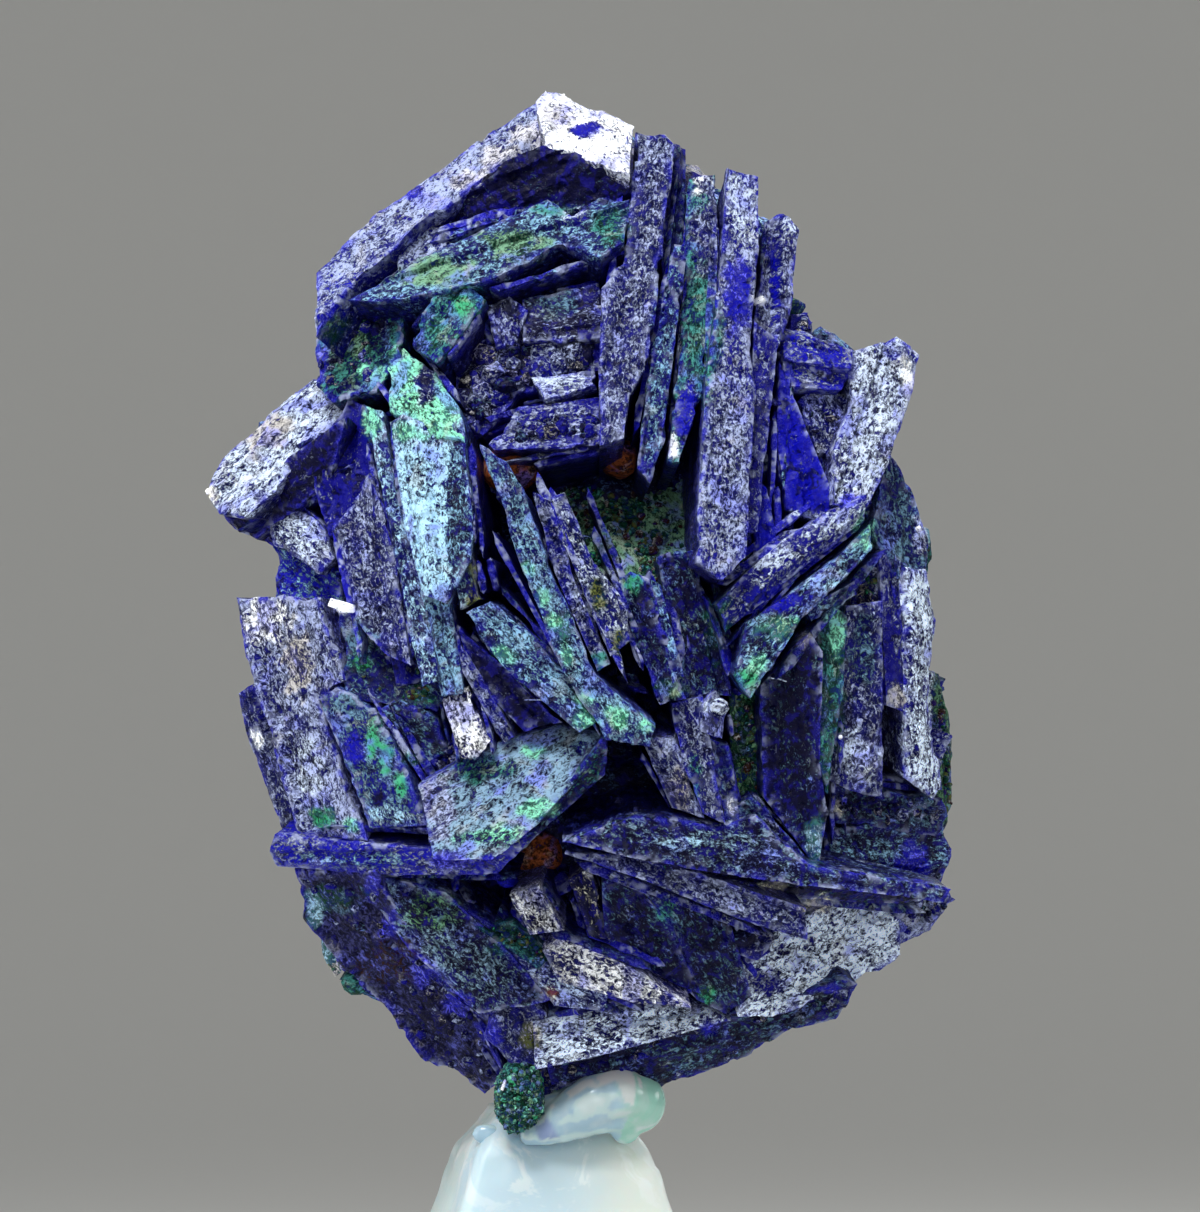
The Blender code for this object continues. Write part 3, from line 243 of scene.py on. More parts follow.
        (32.0, 24.3), (34.0, 23.2), (34.2, 23.8), (32.3, 24.9)]),
    "right slab high": (0.3, 6.0, 0.1, 0.1, [
        (35.4, 17.8), (36.2, 19.4), (37.0, 21.6), (37.0, 23.0), (35.6, 23.2), (34.6, 21.2),
        (35.2, 19.0)]),
    "right slab pale": (-0.2, 7.0, 0.1, 0.0, [
        (35.9, 22.6), (37.0, 22.8), (37.4, 24.8), (37.0, 28.0), (37.8, 31.6), (37.2, 32.0),
        (36.1, 31.0), (36.0, 26.0)]),
    "right slab violet": (0.2, 7.0, 0.0, 0.0, [
        (34.9, 22.0), (36.2, 22.6), (36.2, 28.5), (35.3, 28.2)]),
    "right slab inner": (0.0, 7.0, -0.1, 0.0, [
        (33.7, 24.2), (35.1, 24.0), (35.2, 31.8), (33.9, 31.6), (32.8, 31.0), (33.4, 27.0)]),
    "right rubble": (0.8, 6.0, 0.0, 0.0, [
        (33.4, 23.0), (35.0, 21.4), (35.6, 22.8), (35.3, 25.2), (33.4, 25.0)]),
    "right foot": (0.4, 6.0, 0.0, -0.1, [
        (33.1, 31.2), (35.2, 31.6), (37.6, 31.8), (37.9, 32.6), (37.3, 33.4), (33.2, 32.8)]),
    "right green edge": (1.6, 5.0, 0.3, 0.0, [
        (36.9, 26.8), (37.6, 26.9), (38.1, 29.0), (38.2, 32.2), (37.5, 33.4), (36.9, 31.0)]),
    "right green knob": (1.2, 4.0, 0.3, 0.0, [
        (36.5, 20.8), (37.1, 21.2), (37.3, 22.4), (36.8, 23.2), (36.2, 22.0)]),
    "dark pointed blade": (-0.2, 7.0, -0.1, 0.0, [
        (30.3, 27.4), (32.3, 25.1), (32.7, 26.0), (32.7, 30.4), (33.0, 32.4), (32.6, 34.7),
        (30.4, 31.8)]),
    "green strip": (0.0, 7.0, 0.0, 0.1, [
        (32.6, 24.5), (33.1, 24.1), (33.7, 24.6), (33.6, 27.2), (33.0, 31.6), (32.6, 30.4)]),
    "green hollow": (1.5, 5.0, 0.0, 0.0, [
        (29.0, 27.4), (30.6, 27.6), (30.7, 32.2), (29.2, 31.8)]),
    "centre rib": (0.0, 6.0, 0.0, 0.1, [
        (26.8, 28.0), (28.0, 27.7), (28.4, 29.8), (29.0, 32.9), (28.0, 32.4), (27.2, 30.4)]),
    "centre knob": (-0.2, 5.0, 0.0, 0.1, [
        (27.8, 28.0), (28.6, 27.5), (29.2, 28.4), (28.8, 29.5), (27.9, 29.2)]),
    "centre rib right": (0.1, 5.0, 0.1, 0.0, [
        (28.1, 29.3), (29.0, 29.7), (29.5, 32.7), (28.9, 32.9)]),
    "centre rib low": (0.3, 6.0, 0.0, 0.0, [
        (25.5, 29.3), (26.9, 29.4), (28.1, 32.6), (26.8, 32.2)]),
    "great plate": (-0.9, 3.5, 0.0, 0.7, [
        (16.9, 31.2), (19.2, 29.8), (22.4, 28.8), (24.2, 29.2), (23.0, 31.2), (21.4, 33.0),
        (19.8, 34.2), (17.5, 34.2)]),
    "great plate edge": (-0.3, 5.0, 0.2, -0.5, [
        (24.3, 29.2), (24.2, 30.9), (22.0, 32.9), (19.9, 34.8), (19.0, 34.7), (21.2, 32.9)]),
    "blue ledge": (-0.9, 7.0, 0.0, 0.0, [
        (11.2, 33.2), (14.0, 33.5), (18.0, 33.8), (21.7, 33.0), (19.9, 34.8), (16.0, 34.9),
        (11.2, 34.6), (10.9, 34.0)]),
    "left slab": (0.0, 6.0, -0.1, 0.1, [
        (9.6, 23.9), (10.2, 23.7), (13.0, 23.9), (14.1, 27.2), (13.0, 28.0), (14.8, 33.5),
        (12.1, 33.4), (11.2, 30.4), (10.0, 26.4)]),
    "left outer slab": (1.2, 5.0, -0.2, 0.0, [
        (9.6, 27.7), (10.2, 27.3), (11.4, 30.4), (12.3, 33.6), (11.4, 33.4), (10.0, 29.6)]),
    "left streaked slab": (-0.5, 6.0, 0.0, 0.1, [
        (12.9, 27.8), (13.6, 27.4), (15.2, 28.2), (16.5, 31.0), (17.3, 32.9), (15.0, 33.0)]),
    "small dark blade": (0.3, 6.0, 0.0, 0.0, [
        (15.1, 28.4), (16.2, 27.9), (17.6, 28.6), (18.0, 30.0), (17.0, 30.5), (16.0, 30.5)]),
    "small blue shards": (0.7, 5.0, 0.0, 0.2, [
        (16.9, 30.0), (18.7, 29.3), (19.0, 30.4), (17.2, 31.2)]),
    "moss ledge": (0.9, 6.0, 0.0, 0.3, [
        (13.6, 24.4), (15.4, 24.6), (18.0, 27.4), (17.6, 28.4), (14.0, 28.0)]),
    "fan plate": (-1.2, 3.0, 0.0, 0.45, [
        (22.5, 33.4), (25.4, 32.4), (28.8, 32.8), (30.2, 32.4), (32.2, 34.4), (37.8, 35.4),
        (37.5, 35.9), (30.4, 35.0), (26.0, 34.2)]),
    "fan wedge": (-0.2, 6.0, 0.0, 0.2, [
        (29.2, 32.2), (30.0, 31.7), (32.6, 34.6), (30.4, 33.8)]),
    "fan underside": (-0.5, 6.0, 0.0, -0.3, [
        (25.4, 33.9), (30.0, 34.6), (35.2, 35.5), (37.7, 35.6), (36.0, 36.1), (31.8, 35.9),
        (26.8, 34.9)]),
    "long strip": (-1.0, 6.0, 0.0, 0.0, [
        (22.6, 33.9), (25.6, 34.0), (32.1, 36.1), (32.1, 37.3), (29.8, 36.6), (25.4, 34.8)]),
    "right lower block": (0.2, 7.0, 0.0, 0.1, [
        (32.9, 33.2), (34.4, 32.8), (37.6, 33.2), (38.0, 33.9), (37.6, 35.5), (32.8, 35.2)]),
    "lower pale left": (0.0, 5.0, 0.0, 0.7, [
        (21.3, 40.7), (24.0, 39.9), (27.4, 40.0), (29.2, 40.6), (24.4, 41.9), (21.5, 42.5)]),
    "lower pale right": (0.2, 6.0, 0.0, 0.5, [
        (29.8, 37.2), (32.2, 35.8), (35.9, 35.8), (36.0, 38.1), (33.8, 39.5), (30.8, 40.5),
        (29.4, 40.5)]),
    "right corner lump": (0.8, 6.0, 0.2, 0.2, [
        (35.8, 35.6), (38.0, 35.4), (38.3, 36.0), (37.2, 37.3), (35.8, 37.8)]),
    "lower dark edge": (0.3, 6.0, 0.0, -0.5, [
        (21.7, 42.0), (28.8, 40.4), (33.8, 39.1), (34.3, 39.3), (33.4, 40.6), (31.4, 41.1),
        (29.8, 42.1), (26.4, 43.4), (22.0, 43.3)]),
    "ring knob": (-0.3, 5.0, 0.0, 0.2, [
        (29.3, 37.2), (30.1, 36.7), (30.9, 37.4), (30.2, 38.2), (29.5, 38.0)]),
    "lower left plate": (0.6, 6.0, -0.3, -0.5, [
        (11.9, 34.6), (12.4, 36.4), (13.8, 38.2), (15.7, 40.2), (16.6, 41.7), (19.4, 43.7),
        (20.3, 43.0), (19.6, 40.2), (17.0, 38.0), (15.2, 34.7)]),
    "cream chip high": (0.6, 4.0, -0.2, 0.3, [
        (12.2, 35.4), (13.0, 35.6), (13.1, 36.4), (12.4, 36.5)]),
    "cream chip low": (0.5, 4.0, -0.2, 0.3, [
        (12.9, 37.2), (13.7, 37.6), (14.0, 38.4), (13.4, 39.0), (13.0, 38.2)]),
    "green chip low": (0.8, 4.0, -0.2, -0.2, [
        (13.5, 39.2), (14.2, 38.5), (15.6, 39.6), (15.2, 40.0)]),
    "lower left speckled": (0.0, 6.0, 0.0, 0.1, [
        (15.0, 34.8), (17.9, 35.5), (20.4, 38.0), (22.0, 39.8), (19.2, 40.3), (16.4, 37.8),
        (15.2, 36.2)]),
    "white blade": (0.2, 5.0, 0.0, 0.3, [
        (20.4, 35.6), (21.6, 35.2), (22.6, 37.0), (21.2, 37.2)]),
    "lower green patch": (0.4, 5.0, 0.0, 0.4, [
        (19.0, 36.9), (20.6, 36.6), (22.2, 38.0), (21.6, 38.6)]),
    "white plate": (-0.3, 5.0, 0.0, 0.5, [
        (21.7, 37.8), (22.6, 37.3), (25.2, 38.4), (27.6, 40.1), (25.4, 39.8), (22.4, 39.0)]),
    "striated plate": (0.0, 5.0, 0.0, 0.3, [
        (20.5, 37.9), (21.6, 38.2), (24.4, 39.4), (24.2, 40.2), (22.2, 40.0)]),
    "lower dark blade": (0.3, 6.0, 0.0, 0.0, [
        (24.0, 35.0), (25.2, 34.7), (26.8, 36.6), (28.1, 39.6), (26.0, 38.8), (24.2, 37.4)]),
    "lower grey blade": (-0.1, 6.0, 0.0, 0.0, [
        (24.9, 34.6), (27.0, 35.0), (29.2, 36.8), (30.0, 39.6), (29.0, 40.4), (27.8, 39.8),
        (26.8, 36.8)]),
    "cream moss blade": (0.8, 5.0, 0.0, 0.1, [
        (22.7, 35.0), (23.6, 34.4), (24.5, 37.4), (23.6, 37.4)]),
    "lower dark block": (-0.3, 6.0, 0.0, 0.0, [
        (19.6, 39.4), (20.4, 39.2), (21.9, 40.4), (21.9, 42.5), (20.4, 42.3), (19.4, 41.2)]),
    "block by the glue": (0.2, 4.0, 0.0, 0.0, [
        (21.6, 42.2), (22.6, 42.4), (22.8, 43.3), (21.7, 43.7)]),
}

# Rounded masses: middle across, middle down, depth, and half sizes
CORE_LUMPS = [
    (24.0, 13.4, 1.0, 7.0, 5.6, 7.6),
    (24.4, 23.6, 1.0, 10.6, 6.0, 8.6),
    (24.0, 32.4, 0.8, 10.8, 5.6, 6.8),
    (24.0, 38.6, 0.4, 6.4, 4.6, 4.4),
]
SMALL_LUMPS = [
    (20.5, 18.8, -6.2, 1.1, 1.4, 0.9),
    (24.8, 18.4, -6.0, 0.8, 1.4, 0.8),
    (21.6, 34.0, -5.4, 1.4, 1.5, 1.2),
    (14.5, 26.6, -4.4, 0.9, 1.2, 0.5),
    (17.0, 27.7, -6.3, 0.9, 1.2, 0.5),
    (29.2, 22.4, -6.6, 1.5, 1.4, 1.0),
]
MALACHITE_BALL = (20.8, 43.6, -4.5, 1.05, 1.1, 1.55)
SMALL_LUMP_SIZE = 1.52      # a mass whose half sizes are all under this gets fewer faces

# The glue: a pad under the cluster, and a bead over the stand's front edge, with its radii
GLUE_PAD = (22.9, 43.9, -0.9, 3.0, 2.9, 0.6)
GLUE_BEAD = [
    (21.1, 45.35, -3.9, 0.5), (21.9, 45.1, -3.9, 0.7), (22.9, 44.6, -3.8, 0.95),
    (23.9, 44.15, -3.6, 1.1), (24.8, 43.95, -3.3, 1.15), (25.4, 44.1, -2.9, 1.05),
]
GLUE_DROP = (25.0, 45.0, -3.3, 0.6, 0.6, 0.6)

# Colours, as the share of red, green and blue light that each gives back
COLOURS = {
    "ink": (0.003, 0.003, 0.030),
    "navy": (0.003, 0.005, 0.080),
    "ultramarine": (0.004, 0.004, 0.210),
    "royal": (0.005, 0.006, 0.420),
    "violet": (0.085, 0.085, 0.660),
    "plum": (0.030, 0.032, 0.110),
    "lilac": (0.265, 0.310, 0.490),
    "frost": (0.450, 0.530, 0.690),
    "white": (0.740, 0.770, 0.810),
    "cream": (0.720, 0.710, 0.580),
    "tan": (0.400, 0.390, 0.390),
    "slate": (0.092, 0.182, 0.265),
    "cyan": (0.180, 0.350, 0.500),
    "ice": (0.310, 0.520, 0.680),
    "sky": (0.480, 0.610, 0.860),
    "snow": (0.640, 0.760, 0.940),
    "haze": (0.165, 0.268, 0.370),
    "malachite": (0.035, 0.270, 0.130),
    "mint": (0.190, 0.560, 0.390),
    "teal": (0.045, 0.200, 0.180),
    "green": (0.090, 0.215, 0.115),
    "moss": (0.120, 0.250, 0.160),
    "ash": (0.440, 0.440, 0.500),
    "pine": (0.004, 0.045, 0.022),
    "olive": (0.110, 0.130, 0.035),
    "rust": (0.230, 0.060, 0.020),
    "bark": (0.035, 0.012, 0.006),
}

# Looks of each front blade: the crystal under the bloom, the bloom, how much it covers, and how
# blue the edges are
LOOKS = {
    "roof band": ("ultramarine", "lilac", 0.70, 0.9),
    "roof cap": ("navy", "white", 0.80, 0.3),
    # The roof underside is the crystal's dark blue with little bloom, made darker still as painted shade under the roof
    # band.
    "roof underside": ("ink", "slate", 0.12, 0.2),
    "roof splinter": ("navy", "frost", 0.92, 0.2),
    "green roof blade": ("navy", "cyan", 0.50, 0.5),
    "green stub": ("navy", "teal", 0.60, 0.5),
    "left shoulder": ("navy", "teal", 0.56, 0.9),
    "arm upper": ("navy", "frost", 0.70, 0.7),
    "arm lower": ("ink", "lilac", 0.12, 0.8),
    "chip blade": ("navy", "frost", 0.58, 0.5),
    "left blue block": ("royal", "cyan", 0.40, 0.6),
    "left blue flat": ("ultramarine", "lilac", 0.20, 0.7),
    "left speckled blade": ("navy", "lilac", 0.50, 0.7),
    "left blue wall": ("ultramarine", "lilac", 0.16, 0.7),
    "green tipped blade": ("navy", "ice", 0.58, 0.4),
    "vivid tip": ("pine", "mint", 0.74, 0.3),
    "cyan blade": ("navy", "ice", 0.76, 0.5),
    "cyan foot": ("navy", "cyan", 0.62, 0.4),
    "bright end": ("ink", "white", 0.70, 0.2),
    "olive chip": ("ink", "olive", 0.60, 0.3),
    "long blade": ("navy", "cyan", 0.58, 0.5),
    "thin blade left": ("navy", "lilac", 0.50, 0.9),
    "thin blade right": ("navy", "frost", 0.46, 0.8),
    "inner long blade": ("navy", "cyan", 0.52, 0.3),
    "inner sliver": ("ink", "lilac", 0.20, 0.9),
    "inner rib": ("navy", "lilac", 0.56, 0.8),
    "middle blue blade": ("ink", "slate", 0.34, 0.8),
    "middle pale strip": ("navy", "cyan", 0.56, 0.6),
    "olive blade": ("ink", "slate", 0.38, 0.5),
    "blue line": ("royal", "violet", 0.40, 0.9),
    "upper slab": ("ink", "lilac", 0.30, 0.7),
    "upper oval": ("ink", "lilac", 0.44, 0.8),
    "upper rubble": ("ink", "lilac", 0.34, 0.8),
    "upper pale chip": ("ultramarine", "frost", 0.58, 0.7),
    "cavity lip": ("ultramarine", "lilac", 0.48, 0.8),
    "cavity floor": ("pine", "moss", 0.80, 0.0),
    "column wide": ("navy", "lilac", 0.50, 0.7),
    "column wide flank": ("navy", "slate", 0.30, 0.6),
    "column slim": ("navy", "cyan", 0.42, 0.7),
    "column green": ("navy", "teal", 0.52, 0.5),
    "column tall": ("ultramarine", "lilac", 0.60, 0.8),
    "column right": ("navy", "lilac", 0.56, 0.9),
    "column low": ("ultramarine", "lilac", 0.36, 0.9),
    "bar upper": ("royal", "lilac", 0.40, 0.9),
    "bar lower": ("royal", "lilac", 0.34, 0.9),
    "knob high": ("navy", "violet", 0.26, 0.7),
    "knob low": ("navy", "lilac", 0.46, 0.5),
    "wing": ("navy", "frost", 0.66, 0.8),
    "blue wedge": ("royal", "lilac", 0.10, 0.7),
    "blue wedge low": ("royal", "lilac", 0.14, 0.7),
    "upper diagonal": ("ultramarine", "frost", 0.44, 0.9),
    "lower diagonal": ("ink", "cyan", 0.50, 0.5),
    "diagonal sliver": ("navy", "cyan", 0.44, 0.7),
    "right slab high": ("navy", "slate", 0.50, 0.7),
    "right slab pale": ("navy", "snow", 0.64, 0.8),
    "right slab violet": ("ultramarine", "lilac", 0.42, 0.9),
    "right slab inner": ("navy", "lilac", 0.48, 0.7),
    "right rubble": ("ink", "green", 0.30, 0.3),
    "right foot": ("ink", "slate", 0.42, 0.5),
    "right green edge": ("pine", "green", 0.60, 0.2),
    "right green knob": ("pine", "teal", 0.60, 0.2),
    "dark pointed blade": ("ink", "slate", 0.26, 0.8),
    "green strip": ("pine", "teal", 0.46, 0.3),
    "green hollow": ("pine", "green", 0.44, 0.0),
    "centre rib": ("navy", "lilac", 0.42, 0.9),
    "centre knob": ("navy", "lilac", 0.56, 0.6),
    "centre rib right": ("navy", "slate", 0.42, 0.9),
    "centre rib low": ("navy", "lilac", 0.56, 0.5),
    "great plate": ("ink", "haze", 0.74, 0.6),
    "great plate edge": ("ink", "teal", 0.34, 0.6),
    "blue ledge": ("royal", "lilac", 0.44, 0.9),
    "left slab": ("navy", "lilac", 0.62, 0.9),
    "left outer slab": ("navy", "lilac", 0.44, 0.8),
    "left streaked slab": ("ultramarine", "slate", 0.56, 0.7),
    "small dark blade": ("ink", "slate", 0.44, 0.6),
    "small blue shards": ("ultramarine", "violet", 0.24, 0.8),
    "moss ledge": ("navy", "slate", 0.40, 0.4),
    "fan plate": ("ink", "haze", 0.40, 0.9),
    "fan wedge": ("ink", "slate", 0.42, 0.8),
    "fan underside": ("ink", "teal", 0.24, 0.5),
    "long strip": ("navy", "lilac", 0.50, 0.9),
    "right lower block": ("ink", "cyan", 0.40, 0.8),
    "lower pale left": ("navy", "snow", 0.66, 0.5),
    "lower pale right": ("navy", "snow", 0.68, 0.6),
    "right corner lump": ("ultramarine", "lilac", 0.62, 0.6),
    "lower dark edge": ("ink", "slate", 0.44, 0.7),
    "ring knob": ("navy", "lilac", 0.52, 0.6),
    "lower left plate": ("ink", "plum", 0.60, 0.9),
    "cream chip high": ("olive", "cream", 0.70, 0.2),
    "cream chip low": ("green", "cream", 0.66, 0.2),
    "green chip low": ("pine", "teal", 0.62, 0.2),
    "lower left speckled": ("ink", "haze", 0.50, 0.9),
    "white blade": ("ink", "white", 0.66, 0.5),
    "lower green patch": ("pine", "teal", 0.50, 0.2),
    "white plate": ("navy", "white", 0.64, 0.5),
    "striated plate": ("navy", "sky", 0.58, 0.7),
    "lower dark blade": ("ink", "slate", 0.36, 0.5),
    "lower grey blade": ("ink", "slate", 0.46, 0.5),
    "cream moss blade": ("ink", "cream", 0.26, 0.2),
    "lower dark block": ("navy", "lilac", 0.46, 0.7),
    "block by the glue": ("navy", "lilac", 0.38, 0.6),
}

